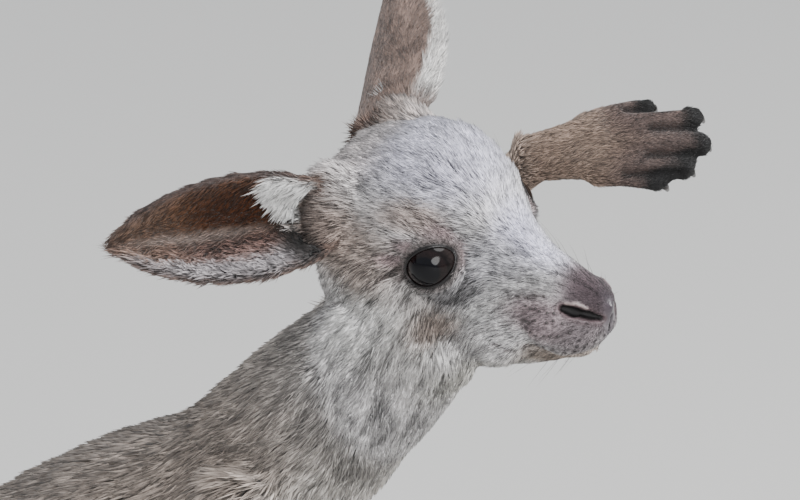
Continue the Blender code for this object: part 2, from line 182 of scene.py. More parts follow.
eye_places = {side: sum(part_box(f"eye_{side}"), Vector()) / 2 for side in SIDES}
between_eyes = (eye_places["left"] + eye_places["right"]) / 2
neck_middle = sum(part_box("neck"), Vector()) / 2
nose_tip = max((v.co for v in nodes["head"].data.vertices), key=lambda p: (p - neck_middle).length)
leftward = (eye_places["left"] - eye_places["right"]).normalized()
noseward = nose_tip - between_eyes
noseward = (noseward - leftward * noseward.dot(leftward)).normalized()
forward = Matrix.Rotation(-NOSE_DROP, 3, leftward) @ noseward
upward = forward.cross(leftward)
head_axes = np.array([forward, leftward, upward]).T


def in_head(points):
    """World metres to the head's millimetres."""
    return (points - np.array(between_eyes)) @ head_axes / MM


def from_head(places):
    """The head's millimetres to world metres."""
    return np.array(places, float) * MM @ head_axes.T + np.array(between_eyes)


print("head axes:", head_axes.round(3).tolist())

# %% [markdown]
# ## Camera, floor and light
#
# The camera looks at the head from the animal's right and a little above, through a long lens
# that keeps the face undistorted. The floor is one large pale sheet. Two wide soft lamps, overhead
# and on the near side, and a pale sky light the coat evenly. A smaller and weaker lamp, in front
# and on the far side, draws a bright edge along the nose.

# %% Camera
CAMERA_TURN, CAMERA_RISE = math.radians(-67), math.radians(15)
CAMERA_DISTANCE = 2.0
VIEW_WIDTH = 266.7 * MM        # width of what the camera sees at the head
HEAD_RIGHT, HEAD_UP = 23.8 * MM, 6.3 * MM   # the head lies this far from the middle of the view

toward_camera = Vector((math.cos(CAMERA_TURN) * math.cos(CAMERA_RISE),
                        math.sin(CAMERA_TURN) * math.cos(CAMERA_RISE),
                        math.sin(CAMERA_RISE)))
turn = toward_camera.to_track_quat("Z", "Y")
view_right, view_up = turn @ Vector((1, 0, 0)), turn @ Vector((0, 1, 0))
aim = between_eyes - view_right * HEAD_RIGHT - view_up * HEAD_UP

lens = bpy.data.cameras.new("camera")
lens.sensor_width = 36
lens.lens = lens.sensor_width * CAMERA_DISTANCE / VIEW_WIDTH
lens.clip_end = 100
camera = bpy.data.objects.new("camera", lens)
camera.location = aim + toward_camera * CAMERA_DISTANCE
camera.rotation_euler = turn.to_euler()
bpy.context.scene.collection.objects.link(camera)
bpy.context.scene.camera = camera
print("camera at", [round(v, 3) for v in camera.location], "lens", round(lens.lens), "mm")


# %% Floor and lights
def shader_of(material):
    """The material's main shader node."""
    return material.node_tree.nodes["Principled BSDF"]


def plain_material(name, colour, roughness):
    """A material of one colour and one roughness."""
    material = bpy.data.materials.new(name)
    material.use_nodes = True
    shader = shader_of(material)
    shader.inputs["Base Color"].default_value = (*colour, 1)
    shader.inputs["Roughness"].default_value = roughness
    return material


bm = bmesh.new()
bmesh.ops.create_grid(bm, x_segments=8, y_segments=8, size=15)
floor = new_piece("floor", bm)
floor.data.materials.append(plain_material("pale_floor", (0.62, 0.61, 0.59), 0.8))


def soft_lamp(name, direction, distance, size, power):
    """A round lamp that shines on the head from this direction and distance."""
    lamp = bpy.data.lights.new(name, "AREA")
    lamp.shape = "DISK"
    lamp.size = size
    lamp.energy = power
    holder = bpy.data.objects.new(name, lamp)
    direction = Vector(direction).normalized()
    holder.location = between_eyes + direction * distance
    holder.rotation_euler = direction.to_track_quat("Z", "Y").to_euler()
    bpy.context.scene.collection.objects.link(holder)
    return holder


soft_lamp("overhead_lamp", (0.35, -0.35, 1.0), 2.2, 1.6, 52)
soft_lamp("side_lamp", (0.45, -0.85, 0.30), 2.6, 1.4, 54)
soft_lamp("rim_lamp", (0.9, 0.5, 0.30), 2.2, 0.8, 34)
sky = bpy.data.worlds.new("studio")
sky.use_nodes = True
sky.node_tree.nodes["Background"].inputs["Color"].default_value = (0.93, 0.96, 1.0, 1)
sky.node_tree.nodes["Background"].inputs["Strength"].default_value = 1.0
bpy.context.scene.world = sky

# %% [markdown]
# ## One closed skin
#
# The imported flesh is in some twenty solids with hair-thin cuts between them. A museum's model
# maker would cast the whole body in one. A voxel remesh does the same: copies of the solids are
# swollen by the width of a cut so that they overlap, and the remesh wraps them in one surface.
# Copies of the eyeballs fill the sockets meanwhile. Away from the head the surface can be coarser,
# so a Decimate modifier thins it there.

# %% Join the flesh
SEAM = 0.3 * MM
GRAIN = 1.0 * MM
SKIN_TRIANGLES = 168000

flesh = [name for name in nodes if not name.startswith(("eye", "claw", "toe_claw"))]


def add_copy(bm, name, swell):
    """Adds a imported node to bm, its loose triangles merged and its surface moved out by swell."""
    piece = bmesh.new()
    piece.from_mesh(nodes[name].data)
    bmesh.ops.remove_doubles(piece, verts=piece.verts, dist=0.001 * MM)
    piece.normal_update()
    for vertex in piece.verts:
        vertex.co += vertex.normal * swell
    mesh = bpy.data.meshes.new(name)
    piece.to_mesh(mesh)
    piece.free()
    bm.from_mesh(mesh)
    bpy.data.meshes.remove(mesh)


whole = bmesh.new()
for name in flesh:
    add_copy(whole, name, SEAM)
for side in SIDES:
    add_copy(whole, f"eye_{side}", 0)
skin = new_piece("skin", whole)
wrap = skin.modifiers.new("wrap", "REMESH")
wrap.mode = "VOXEL"
wrap.voxel_size = GRAIN
mesh = apply_modifiers(skin)
print("wrapped:", len(mesh.polygons), "faces")

# %% [markdown]
# ## Which part of the body each point belongs to
#
# Coat length, colour and lie change from part to part. A k-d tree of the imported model's points
# tells each point of the skin which solid it is nearest to, and a table gives that part's coat.
# The values are then relaxed, so one kind of fur passes softly into the next.

# %% Nearest solid
places, owners = [], []
for number, name in enumerate(flesh):
    for vertex in nodes[name].data.vertices:
        places.append(vertex.co.copy())
        owners.append(number)
tree = kdtree.KDTree(len(places))
for number, place in enumerate(places):
    tree.insert(place, number)
tree.balance()


def nearest_solid(mesh):
    """The number of the solid that each point of the mesh is nearest to."""
    find = tree.find
    return np.array([owners[find(vertex.co)[1]] for vertex in mesh.vertices])


kind_of = [name.replace("_right", "").replace("_left", "") for name in flesh]


def of_kinds(owners, *kinds):
    """Which owners are solids of these kinds, whatever their side."""
    return np.isin(owners, [number for number, kind in enumerate(kind_of) if kind in kinds])


owner = nearest_solid(mesh)
print("points on the head:", int((owner == flesh.index("head")).sum()))

# %% Thin the surface away from the head
FINE_KINDS = ("head", "ear", "forepaw")
COARSE_STEPS = 10

fine = of_kinds(owner, *FINE_KINDS).astype(float)
coarse = 1 - np.clip(relax(fine, edges_of(mesh), 6) * 2, 0, 1)
group = skin.vertex_groups.new(name="coarse")
for step in range(COARSE_STEPS + 1):
    chosen = np.flatnonzero(np.round(coarse * COARSE_STEPS) == step)
    group.add(chosen.tolist(), step / COARSE_STEPS, "REPLACE")
thin = skin.modifiers.new("thin", "DECIMATE")
thin.ratio = SKIN_TRIANGLES / (2 * len(mesh.polygons))
thin.vertex_group = "coarse"
thin.vertex_group_factor = 1.0
thin.use_collapse_triangulate = True
mesh = apply_modifiers(skin)
skin.vertex_groups.clear()
print("thinned to", len(mesh.polygons), "triangles")

# %% [markdown]
# ## Where the eyes, nostrils and mouth are
#
# Lids, nostrils and lips have edges finer than the skin's one-millimetre points, so these places
# are found first and the faces there are split once more. The eye's opening is an oval on the
# eyeball. Its rim is measured along the ball, as a tailor would measure with a tape: negative
# inside the opening, positive out on the lid. Creases are lists of a few places in the head's
# frame, each crease with a depth and a half width.

# %% The eye's opening
EYE_AT = np.array([-0.8, 20.4, -1.0])       # middle of the eyeball
EYE_RADIUS = 10.7
GAZE = unit(np.array([0.231, 0.966, 0.114]))
OPENING_AT, OPENING_LONG, OPENING_TALL = (1.0, 1.4), 10.3, 6.4
OPENING_TILT = math.radians(36)

eye_front = unit(np.array([1.0, 0, 0]) - GAZE * GAZE[0])
eye_top = np.cross(eye_front, GAZE)
tilt_cos, tilt_sin = math.cos(OPENING_TILT), math.sin(OPENING_TILT)


def folded(places):
    """Both sides of the face laid over the left one."""
    return np.stack([places[:, 0], np.abs(places[:, 1]), places[:, 2]], axis=1)


def around_eye(places):
    """Distance from the eyeball's middle, distance out from the opening's rim, and place on it."""
    ray = places - EYE_AT
    distance = np.linalg.norm(ray, axis=1)
    ray = unit(ray)
    angle = np.arccos(np.clip(ray @ GAZE, -1, 1))
    flat = unit(np.stack([ray @ eye_front, ray @ eye_top], axis=1)) * (angle * EYE_RADIUS)[:, None]
    flat = flat - OPENING_AT
    along = flat[:, 0] * tilt_cos + flat[:, 1] * tilt_sin
    across = flat[:, 1] * tilt_cos - flat[:, 0] * tilt_sin
    reach = np.hypot(along, across)
    share = np.hypot(along / OPENING_LONG, across / OPENING_TALL)
    return distance, reach - reach / np.maximum(share, 0.01), along, across


# %% Creases of the nose and mouth: places, depth and half width in mm
NOSTRIL = [(42.3, 10.5, -10.9), (45, 10, -11.3), (48.3, 8.9, -11.9), (51.6, 6.8, -13),
           (54.5, 4.2, -14.8)]
NOSTRIL_EDGE = [(43.2, 9.6, -9.3), (46.8, 8.2, -8.9), (50, 7.1, -10.2)]     # wet rim over its back half
MOUTH = [(51.5, 0, -27.4), (48.8, 5.2, -28.2), (42.3, 9.5, -29.0), (34, 11.5, -30.2), (27, 14, -30.2),
         (20, 16.5, -28.0)]
EYE_CORNER = [(-9.5, 28.5, -3.0), (-12, 30.3, -5.3), (-15.5, 31.5, -7.6)]    # fold behind the eye
CLEFT = [(57, 0, -15), (55, 0, -21), (51.5, 0, -27.4)]


def to_path(places, path, facing=None):
    """Shortest distance from each place to a path, and how far along the path that is, 0 to 1.

    With facing, the skin's outward directions, the distance is measured along the skin.
    """
    best = np.full(len(places), 1e9)
    where = np.zeros(len(places))
    for number, (start, end) in enumerate(zip(path, path[1:])):
        start, step = np.array(start, float), np.subtract(end, start)
        share = np.clip((places - start) @ step / (step @ step), 0, 1)
        offset = places - start - share[:, None] * step
        if facing is not None:
            offset -= facing * np.clip((offset * facing).sum(1), -3, 3)[:, None]
        distance = np.linalg.norm(offset, axis=1)
        closer = distance < best
        best[closer] = distance[closer]
        where[closer] = (number + share[closer]) / (len(path) - 1)
    return best, where


# %% Split the faces there
RIM_BAND, CREASE_BAND = (-2.2, 3.6), 3.2        # how far the finer faces reach, in mm

bm = bmesh.new()
bm.from_mesh(mesh)
bm.verts.ensure_lookup_table()
face = folded(in_head(points_of(mesh)))
distance, outside, _, _ = around_eye(face)
detailed = (outside > RIM_BAND[0]) & (outside < RIM_BAND[1]) & (np.abs(distance - EYE_RADIUS) < 7)
for path in (NOSTRIL, MOUTH, CLEFT):
    detailed |= to_path(face, path)[0] < CREASE_BAND
chosen = [e for e in bm.edges if detailed[e.verts[0].index] and detailed[e.verts[1].index]]
bmesh.ops.subdivide_edges(bm, edges=chosen, cuts=1)
bmesh.ops.triangulate(bm, faces=[f for f in bm.faces if len(f.verts) > 3])
bm.to_mesh(mesh)
bm.free()
owner = nearest_solid(mesh)
edges = edges_of(mesh)
print("split", len(chosen), "edges:", len(mesh.polygons), "triangles")

# %% [markdown]
# ## Smoothing, and drawing the skin in under the coat
#
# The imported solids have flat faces, so the skin is smoothed. Plain smoothing shrinks thin parts.
# Taubin's method follows each smoothing pass with a slightly stronger pass the other way, which
# keeps the size. Trunk and limbs get more passes, so that shoulders, hips and heels flow into the
# body, and plain smoothing rounds the step below each kneecap. Then each point moves inward by the
# depth that the fur will fill.

# %% Coat table: skin depth, hair length, hair width and hairs to a square mm
COAT = {
    "head": (2.3, 6.0, 0.50, 3.5), "ear": (0.35, 4.2, 0.34, 2.6), "neck": (4.0, 9.0, 0.58, 2.6),
    "trunk": (5.5, 12.5, 0.85, 1.0), "tail_root": (4.0, 11.0, 0.85, 1.0),
    "tail_middle": (2.6, 8.0, 0.65, 1.3), "tail_tip": (1.6, 7.0, 0.55, 2.0),
    "thigh": (4.5, 11.0, 0.85, 1.0), "shank": (2.2, 7.5, 0.6, 1.3), "foot": (0.9, 4.2, 0.45, 1.6),
    "toes": (0.5, 3.0, 0.4, 2.2), "upper_arm": (2.6, 7.5, 0.55, 1.7), "forearm": (1.6, 5.5, 0.45, 2.2),
    "forepaw": (0.7, 3.2, 0.34, 3.4),
}
BROAD_KINDS = ("trunk", "tail_root", "thigh", "shank", "foot", "upper_arm", "forearm")
PASSES, BROAD_PASSES = 36, 110
KNEE_BACK, KNEE_RISE, KNEE_REACH, KNEE_PASSES = 14 * MM, 27 * MM, 19 * MM, 90

broad = relax(of_kinds(owner, *BROAD_KINDS).astype(float), edges, 8)[:, None]
shape = points_of(mesh)
for number in range(PASSES + BROAD_PASSES):
    moved = 1 if number < PASSES else broad
    for step in (0.6, -0.62):
        shape += moved * (relax(shape, edges, 1, step) - shape)
for side in SIDES:      # the step below the kneecap is rounded off
    low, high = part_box(f"thigh_{side}")
    knee = np.array((high.x - KNEE_BACK, (low.y + high.y) / 2, low.z + KNEE_RISE))
    near_knee = np.exp(-(np.linalg.norm(shape - knee, axis=1) / KNEE_REACH) ** 4)[:, None]
    for _ in range(KNEE_PASSES):
        shape += near_knee * (relax(shape, edges, 1, 0.6) - shape)
move_points(mesh, shape)
table = np.array([COAT[kind] for kind in kind_of])
coat = relax(table[owner], edges, 60)
normals = unit(relax(points_of(mesh, "normal"), edges, 4))
depth = coat[:, :1] * MM
face = in_head(shape)
muzzle = np.clip((face[:, 0] - 12) / 24, 0, 1) * of_kinds(owner, "head")
depth *= (1 - 0.75 * relax(muzzle, edges, 8))[:, None]
move_points(mesh, shape - normals * depth)
print("skin lies", (depth.min() / MM).round(2), "to", (depth.max() / MM).round(2), "mm under the coat")

# %% [markdown]
# ## Folds of the paws and the face
#
# Between the fingers the skin sinks in. Around each eye it is laid on the eyeball like a real lid,
# a little under a millimetre thick, and inside the opening it dives under the ball. The nostrils,
# the cleft under the nose, the line of the mouth and a fold behind the eye are pressed in as
# creases, deepest along their middle lines. The wing over each nostril swells out. Two helpers
# make soft steps. Between the two numbers given to them, in millimetres where the values are, ease
# rises from 0 to 1 and fade falls from 1 to 0.

# %% Creases between the fingers
def finger_gap(points):
    """Shortest distance in mm to the lines between the fingers, seen from the back of the paw."""
    best = np.full(len(points), 1e9)
    for side in SIDES:
        ends = [np.array(sum(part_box(f"claw_{side}_{n}"), Vector())) / 2 for n in range(1, 6)]
        way = unit(np.mean(ends, axis=0) - np.array(sum(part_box(f"forepaw_{side}"), Vector())) / 2)
        aside = unit(ends[4] - ends[0])
        for one, two in zip(ends, ends[1:]):
            outer = (one + two) / 2 - way * 2 * MM
            line = [np.array([end @ way, end @ aside, 0]) for end in (outer, outer - way * 19 * MM)]
            near = np.linalg.norm(points - outer, axis=1) < 30 * MM
            flat = np.stack([points[near] @ way, points[near] @ aside, np.zeros(near.sum())], axis=1)
            best[near] = np.minimum(best[near], to_path(flat, line)[0] / MM)
    return best


shape = points_of(mesh)
way = points_of(mesh, "normal")
FINGER_CREASE, FINGER_CREASE_WIDTH = 1.7 * MM, 1.4
crease = of_kinds(owner, "forepaw") * np.exp(-(finger_gap(shape) / FINGER_CREASE_WIDTH) ** 2)
move_points(mesh, shape - way * (FINGER_CREASE * crease)[:, None])
print("points in the creases:", int((crease > 0.5).sum()))

# %% Press the folds in
LID_THICKNESS, LEAST_LID = 0.85, 0.4        # over the eyeball, in mm
DIVE, CORNER_DEPTH = 1.6, 0.8               # under the eyeball, and into the lid
CREASES = {     # path, depth and half width
    "nostril": (NOSTRIL, 3.0, 1.45), "edge": (NOSTRIL_EDGE, -0.5, 0.65), "mouth": (MOUTH, 1.3, 0.8),
    "cleft": (CLEFT, 0.9, 0.8), "corner": (EYE_CORNER, 0.9, 1.2),
}
SWELLINGS = [   # place, height and half width
    ((46.5, 9.0, -7.6), 0.8, 2.4), ((50, 7.6, -9.0), 0.5, 2.2),     # wing of the nostril
    ((36, 12.5, -17), 0.6, 6.0), ((52, 0, -32), -2.2, 5.0),         # whisker pad, dip under the lip
]


def ease(values, start, end):
    """0 before start, 1 past end, with a soft step between."""
    share = np.clip((values - start) / (end - start), 0, 1)
    return share * share * (3 - 2 * share)


def fade(values, start, end):
    """1 before start, 0 past end, with a soft step between."""
    return 1 - ease(values, start, end)


def patch(places, middle_place, radii):
    """1 in the middle of an oval patch, falling softly to 0 round its edge."""
    return np.exp(-0.7 * np.linalg.norm((places - middle_place) / radii, axis=1) ** 4)


shape = in_head(points_of(mesh))
sign = np.where(shape[:, 1:2] < 0, -1.0, 1.0)
face = folded(shape)
way = unit(points_of(mesh, "normal") @ head_axes)
way[:, 1] *= sign[:, 0]

distance, outside, along, across = around_eye(face)
near = np.abs(distance - EYE_RADIUS) < 9
on_lid = fade(outside, 1.8, 7.5) * near
laid = EYE_RADIUS + LID_THICKNESS * (0.55 + 0.45 * ease(outside, 0.4, 2.6))
target = distance + (laid - distance) * on_lid
target = np.where(near & (outside > 0), np.maximum(target, EYE_RADIUS + LEAST_LID), target)
inside = ease(-outside, -0.3, 0.8) * near
target += (EYE_RADIUS - DIVE - target) * inside
corner = np.exp(-(across / 0.9) ** 2) * ease(outside, 0.0, 1.2) * fade(outside, 2.0, 5.5) * near
target -= CORNER_DEPTH * corner * (along < 0)
face = EYE_AT + (face - EYE_AT) * (target / distance)[:, None]

creases = {}
for name, (path, deep, wide) in CREASES.items():
    gap, where = to_path(face, path, way)
    narrowing = 0.45 + 0.75 * np.sin(np.pi * (0.15 + 0.75 * where)) if name == "nostril" else 1.0
    creases[name] = gap / (wide * narrowing), where
    face -= way * (deep * narrowing * np.exp(-creases[name][0] ** 4))[:, None]
for place, swell, wide in SWELLINGS:
    gap = np.linalg.norm(face - place, axis=1)
    face += way * (swell * np.exp(-(gap / wide) ** 2))[:, None]
shape = face * np.concatenate([np.ones_like(sign), sign, np.ones_like(sign)], axis=1)
move_points(mesh, from_head(shape))
print("points on the lids:", int((on_lid > 0.5).sum()),
      "in the creases:", {name: int((gap < 1).sum()) for name, (gap, _) in creases.items()})

# %% [markdown]
# ## Lid margins
#
# The bare dark edge of a lid is a smooth rounded band. It starts as a flat grid with one side for
# the way round the eye and the other for the way round the band's section. Each grid point is
# moved to its place on the eyeball, and merging the grid's meeting sides closes it to a ring.

# %% Rings on the eyeballs
def on_eye(turn, out, height, side):
    """A place in the head's frame: turn round the opening, out from its rim, height over the ball."""
    along, across = OPENING_LONG * math.cos(turn), OPENING_TALL * math.sin(turn)
    grow = 1 + out / math.hypot(along, across)
    along, across = along * grow, across * grow
    front = along * tilt_cos - across * tilt_sin + OPENING_AT[0]
    top = along * tilt_sin + across * tilt_cos + OPENING_AT[1]
    angle = math.hypot(front, top) / EYE_RADIUS
    flat = (eye_front * front + eye_top * top) / math.hypot(front, top)
    ray = GAZE * math.cos(angle) + flat * math.sin(angle)
    return (EYE_AT + ray * (EYE_RADIUS + height)) * (1, SIDES[side], 1)


rings = bmesh.new()
rings.from_mesh(mesh)
for side in SIDES:
    made = bmesh.ops.create_grid(rings, x_segments=110, y_segments=14, size=1)["verts"]
    for vertex in made:
        turn, section = (vertex.co.x + 1) * math.pi, (vertex.co.y + 1) * math.pi
        out = 0.3 - 0.5 * math.cos(section)
        height = 0.3 + 0.42 * math.sin(section) - 0.1 * out
        vertex.co = Vector(from_head(on_eye(turn, out, height, side)))
    bmesh.ops.remove_doubles(rings, verts=made, dist=0.02 * MM)
    ring = [f for v in made if v.is_valid for f in v.link_faces]
    bmesh.ops.recalc_face_normals(rings, faces=list(set(ring)))
bmesh.ops.triangulate(rings, faces=[f for f in rings.faces if len(f.verts) > 3])
rings.to_mesh(mesh)
rings.free()
skin_points = points_of(mesh)
edges = edges_of(mesh)
owner = nearest_solid(mesh)
new_points = len(skin_points) - len(shape)
crease_gap = {name: np.append(gap, np.full(new_points, 99.0)) for name, (gap, _) in creases.items()}
along_mouth = np.append(creases["mouth"][1], np.zeros(new_points))
print("skin with lids:", len(mesh.polygons), "triangles")

# %% [markdown]
# ## The lie of the coat
#
# Hair grows away from the tip of the nose, back over the head, down the neck and trunk to the tail,
# and down each limb to its claws. Every solid gets one direction, from the solid before it in that
# chain to the one after. On the head the direction runs away from the nose. Relaxing the field
# turns it softly from part to part, and taking out what points off the skin lays the hair flat.

# %% Directions along the body
middle = {name: np.array(sum(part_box(name), Vector())) / 2 for name in nodes}
chains = [["head", "neck", "trunk", "tail_root", "tail_middle", "tail_tip"]]
for side in SIDES:
    chains.append(["trunk", f"thigh_{side}", f"shank_{side}", f"foot_{side}", f"toes_{side}"])
    chains.append(["neck", f"upper_arm_{side}", f"forearm_{side}", f"forepaw_{side}"])
along_node = {}
for chain in chains:
    for number, name in enumerate(chain):
        before, after = chain[max(number - 1, 0)], chain[min(number + 1, len(chain) - 1)]
        along_node.setdefault(name, unit(middle[after] - middle[before]))

EARS = {  # root, way to the tip and way that the cup opens, in the head's frame
    "left": ((-50.7, 20, 11), (-0.43, 0.88, 0.20), (0.60, 0.25, -0.75)),
    "right": ((-40.7, -25, 6), (-0.38, -0.90, 0.20), (0.75, -0.25, 0.40)),
}
FRONT_EDGE = {"left": 1, "right": -1}       # which margin of the blade faces forward and up
EAR_LENGTH, EAR_WIDTH = 82, 23
ear_frame = {}
for side in SIDES:
    root, tip_way, open_way = (np.array(v, float) for v in EARS[side])
    tip_way = unit(tip_way)
    open_way = unit(open_way - tip_way * (open_way @ tip_way))
    ear_frame[side] = (root, tip_way, open_way, np.cross(open_way, tip_way) * FRONT_EDGE[side])
    along_node[f"ear_{side}"] = head_axes @ tip_way

face = in_head(skin_points)
normals = unit(relax(points_of(mesh, "normal"), edges, 3))
flow = np.array([along_node[name] for name in flesh])[owner]
on_head = owner == flesh.index("head")
NOSE_PLACE = (62, 0, -8)
flow[on_head] = (unit(face[on_head] - NOSE_PLACE) + (0, 0, -0.12)) @ head_axes.T
hanging = on_head * ease(-face[:, 0], -24, 2) * ease(-face[:, 2], -3, 14)
flow += hanging[:, None] * np.array((0, 0, -1.5)) @ head_axes.T
print("directions for", len(along_node), "solids")

# %% Ears: places along the blade, across it and inside the cup
def ear_roll(along):
    """Radius of the rolled blade and its half width as the cup is seen from in front."""
    leaf = EAR_WIDTH * (0.88 + 0.14 * np.sin(np.pi * along))
    leaf = leaf * np.sqrt(np.maximum(1 - along ** 2.7, 0.012))
    roll = np.radians(58 + 58 * (1 - along) ** 3)
    return leaf / roll, leaf / roll * np.sin(np.minimum(roll, np.pi / 2))


ear_along, ear_across, ear_inside = (np.zeros(len(face)) for _ in range(3))
for side in SIDES:
    root, tip_way, open_way, front_way = ear_frame[side]
    on_ear = owner == flesh.index(f"ear_{side}")
    place = face[on_ear] - root
    facing = normals[on_ear] @ head_axes
    share = np.clip(place @ tip_way / EAR_LENGTH, 0, 1)
    radius, half_width = ear_roll(share)
    axis_height = radius - (7 - 10 * share + 9 * share ** 2)
    to_axis = (open_way * (axis_height - place @ open_way)[:, None]
               - front_way * (place @ front_way)[:, None])
    ear_along[on_ear] = place @ tip_way / EAR_LENGTH
    ear_across[on_ear] = place @ front_way / half_width
    ear_inside[on_ear] = ease((facing * unit(to_axis)).sum(1), -0.1, 0.3)
    sweep = -1.1 * ease(ear_across[on_ear], 0.1, 0.9) - 0.7 * ease(-ear_across[on_ear], -0.1, 0.9)
    margin = (side == "left") * ease(ear_across[on_ear], 0.7, 0.95)
    turned = tip_way + front_way * (sweep * ear_inside[on_ear] * (1 - margin) + 0.5 * margin)[:, None]
    flow[on_ear] = turned @ head_axes.T
ear_inside = relax(ear_inside, edges, 6)
is_ear = of_kinds(owner, "ear").astype(float)
fringe_edge = 2.8 * ear_along - 0.10 - 0.6 * fade(ear_along, 0.06, 0.18)    # a wedge of white hairs
fringe = ear_inside * ease(ear_across - fringe_edge, 0, 0.2) * fade(ear_across, 0.90, 1.0)
fringe *= ease(ear_across, -0.3, -0.05)
white_margin = ease(ear_across, 0.84, 0.95) * ease(ear_along, 0.1, 0.3)
white_margin *= owner == flesh.index("ear_left")
print("ear points:", int(is_ear.sum()), "inside the cups:", int((ear_inside > 0.5).sum()))

# %% Lay the field flat on the skin
for _ in range(10):
    flow = relax(flow, edges, 6)
    flow = unit(flow - normals * (flow * normals).sum(1, keepdims=True))
agreement = ease(np.linalg.norm(relax(flow, edges, 12), axis=1), 0.55, 0.97)   # low where lies meet
distance, outside, along, across = around_eye(folded(face))
from_eye = folded(face) - (EYE_AT + GAZE * 4)
from_eye[:, 1] *= np.where(face[:, 1] < 0, -1, 1)
pull = np.exp(-np.clip(outside, 0, None) / 3.0) * (np.abs(distance - EYE_RADIUS) < 6) * on_head
flow = flow + unit(from_eye) @ head_axes.T * (1.1 * pull)[:, None]
flow = unit(flow - normals * (flow * normals).sum(1, keepdims=True))
print("field laid over", len(flow), "points")

# %% [markdown]
# ## Coat values on the skin
#
# Each point now gets the length, width and depth of the hair that grows there and how many tufts
# stand on a square millimetre. The face's hair is shortest on the nose and longest at the jaw,
# and the rims of the eyes, the nostrils and the soles of the feet are bare. The coat is thinner
# round the whiskers' roots, so these are found first. Most changes are a share of the value that
# is there already, and one helper makes them all.

# %% Roots of the whiskers: start and end of each row and how many, in the head's frame
WHISKER_ROWS = [
    ((27.5, 12.8, -9.8), (36.0, 10.7, -8.3), 4), ((29.7, 12.8, -12.8), (41.0, 12.5, -12.6), 6),
    ((29.5, 13.3, -18.0), (43.5, 12.5, -15.3), 7), ((33.5, 15.2, -20.4), (45.5, 11.5, -18.6), 6),
    ((35.5, 13.0, -24.8), (46.0, 9.0, -23.4), 5), ((14, 21, -24), (20, 18.5, -22), 2),
    ((-3, 22, 15), (2, 21, 14), 2), ((34, 5, -37), (42, 5, -35), 3),
]
head_tree = kdtree.KDTree(int(on_head.sum()))
for number in np.flatnonzero(on_head):
    head_tree.insert(face[number], int(number))
head_tree.balance()
whisker_roots = []
for start, end, count in WHISKER_ROWS:
    for share in np.linspace(0, 1, count):
        place = np.array(start) + (np.array(end) - start) * share + random.normal(0, 0.25, 3)
        for side in SIDES.values():
            _, number, _ = head_tree.find(Vector(place * (1, side, 1)))
            whisker_roots.append(number)
whisker_places = face[whisker_roots]
by_bud = np.min([np.linalg.norm(face - place, axis=1) for place in whisker_places], axis=0)
print("whiskers:", len(whisker_roots))

# %% Length, width, depth and number
hair = dict(zip(("depth", "length", "width", "number"), relax(table[owner], edges, 60).T.copy()))


def change_hair(share, **amounts):
    """Multiplies coat values by 1 plus their amount where share is 1, and not where it is 0."""
    for name, amount in amounts.items():
        hair[name] *= 1 + amount * share


hair["length"] *= 0.45 + 0.55 * agreement
hair["depth"] *= 0.55 + 0.45 * agreement
places = folded(face)
blend = relax(on_head.astype(float), edges, 10)
change_hair(blend * ease(places[:, 0], -6, 46), length=-0.68, width=-0.42, depth=-0.80, number=1.1)
jowl = blend * np.exp(-(np.linalg.norm((places - (-14, 27, -36)) / (20, 14, 15), axis=1)) ** 2)
change_hair(jowl, length=0.45)
print("hair on the head from", hair["length"][on_head].min().round(1), "mm")

# %% Ears: long hair on the fringe, the white margin and the lower lobe, little in the cup
hair["length"] += 4.5 * fringe + 2.5 * white_margin
hair["depth"] += 1.3 * fringe + 0.8 * white_margin
change_hair(fringe, number=1.3)
lower_lobe = ear_inside * ease(-ear_across, 0.0, 0.6)
hair["length"] += 3.0 * lower_lobe
hair["depth"] += 0.8 * lower_lobe
change_hair(ear_inside * (1 - fringe) * (1 - lower_lobe), number=-0.5, depth=-0.6)
hair["depth"] += ear_inside * (0.7 * hair["length"]) ** 2 / 8    # lifts straight hairs off the cup
print("hair in the cups up to", hair["length"][ear_inside > 0.5].max().round(1), "mm")

# %% Eyes, nose and whisker roots
BARE_LID = [    # place and radii of the patches of thin hair over the lid
    ((5.0, 23, 9.6), (7.0, 5, 4.0)), ((10, 20.5, 5.5), (3.2, 4, 5.5)),
    ((-11, 29, -0.6), (5.5, 4, 2.6)), ((-6, 27, 4.5), (5, 4, 2.6)),
]
near_eye = (np.abs(distance - EYE_RADIUS) < 4) * on_head
bare_lid = near_eye * fade(outside, 0.5, 1.5)
change_hair(near_eye * fade(outside, 2.0, 8.0), length=-0.62, depth=-0.65, width=-0.3)
lid_skin = on_head * np.max([patch(places, place, radii) for place, radii in BARE_LID], axis=0)
change_hair(lid_skin, length=-0.5, depth=-0.6)
change_hair(on_head * fade(crease_gap["corner"], 0.5, 1.6), number=-0.5)
change_hair(on_head * np.exp(-(by_bud / 0.8) ** 2), number=-0.6)
nose_end = np.linalg.norm((places - (57, 0, -14)) / (4.5, 5.0, 8.0), axis=1)
by_nostril = np.minimum(crease_gap["nostril"], crease_gap["edge"])
bare_nose = on_head * np.maximum(fade(by_nostril, 1.1, 1.8), fade(nose_end, 0.8, 1.2))
velvet = on_head * ease(places[:, 0], 33, 44) * ease(places[:, 2], -20, -14)
change_hair(velvet, length=-0.50, depth=-0.50, width=-0.15, number=0.6)
print("bare points on lids and nose:", int((bare_lid + bare_nose > 0.5).sum()))

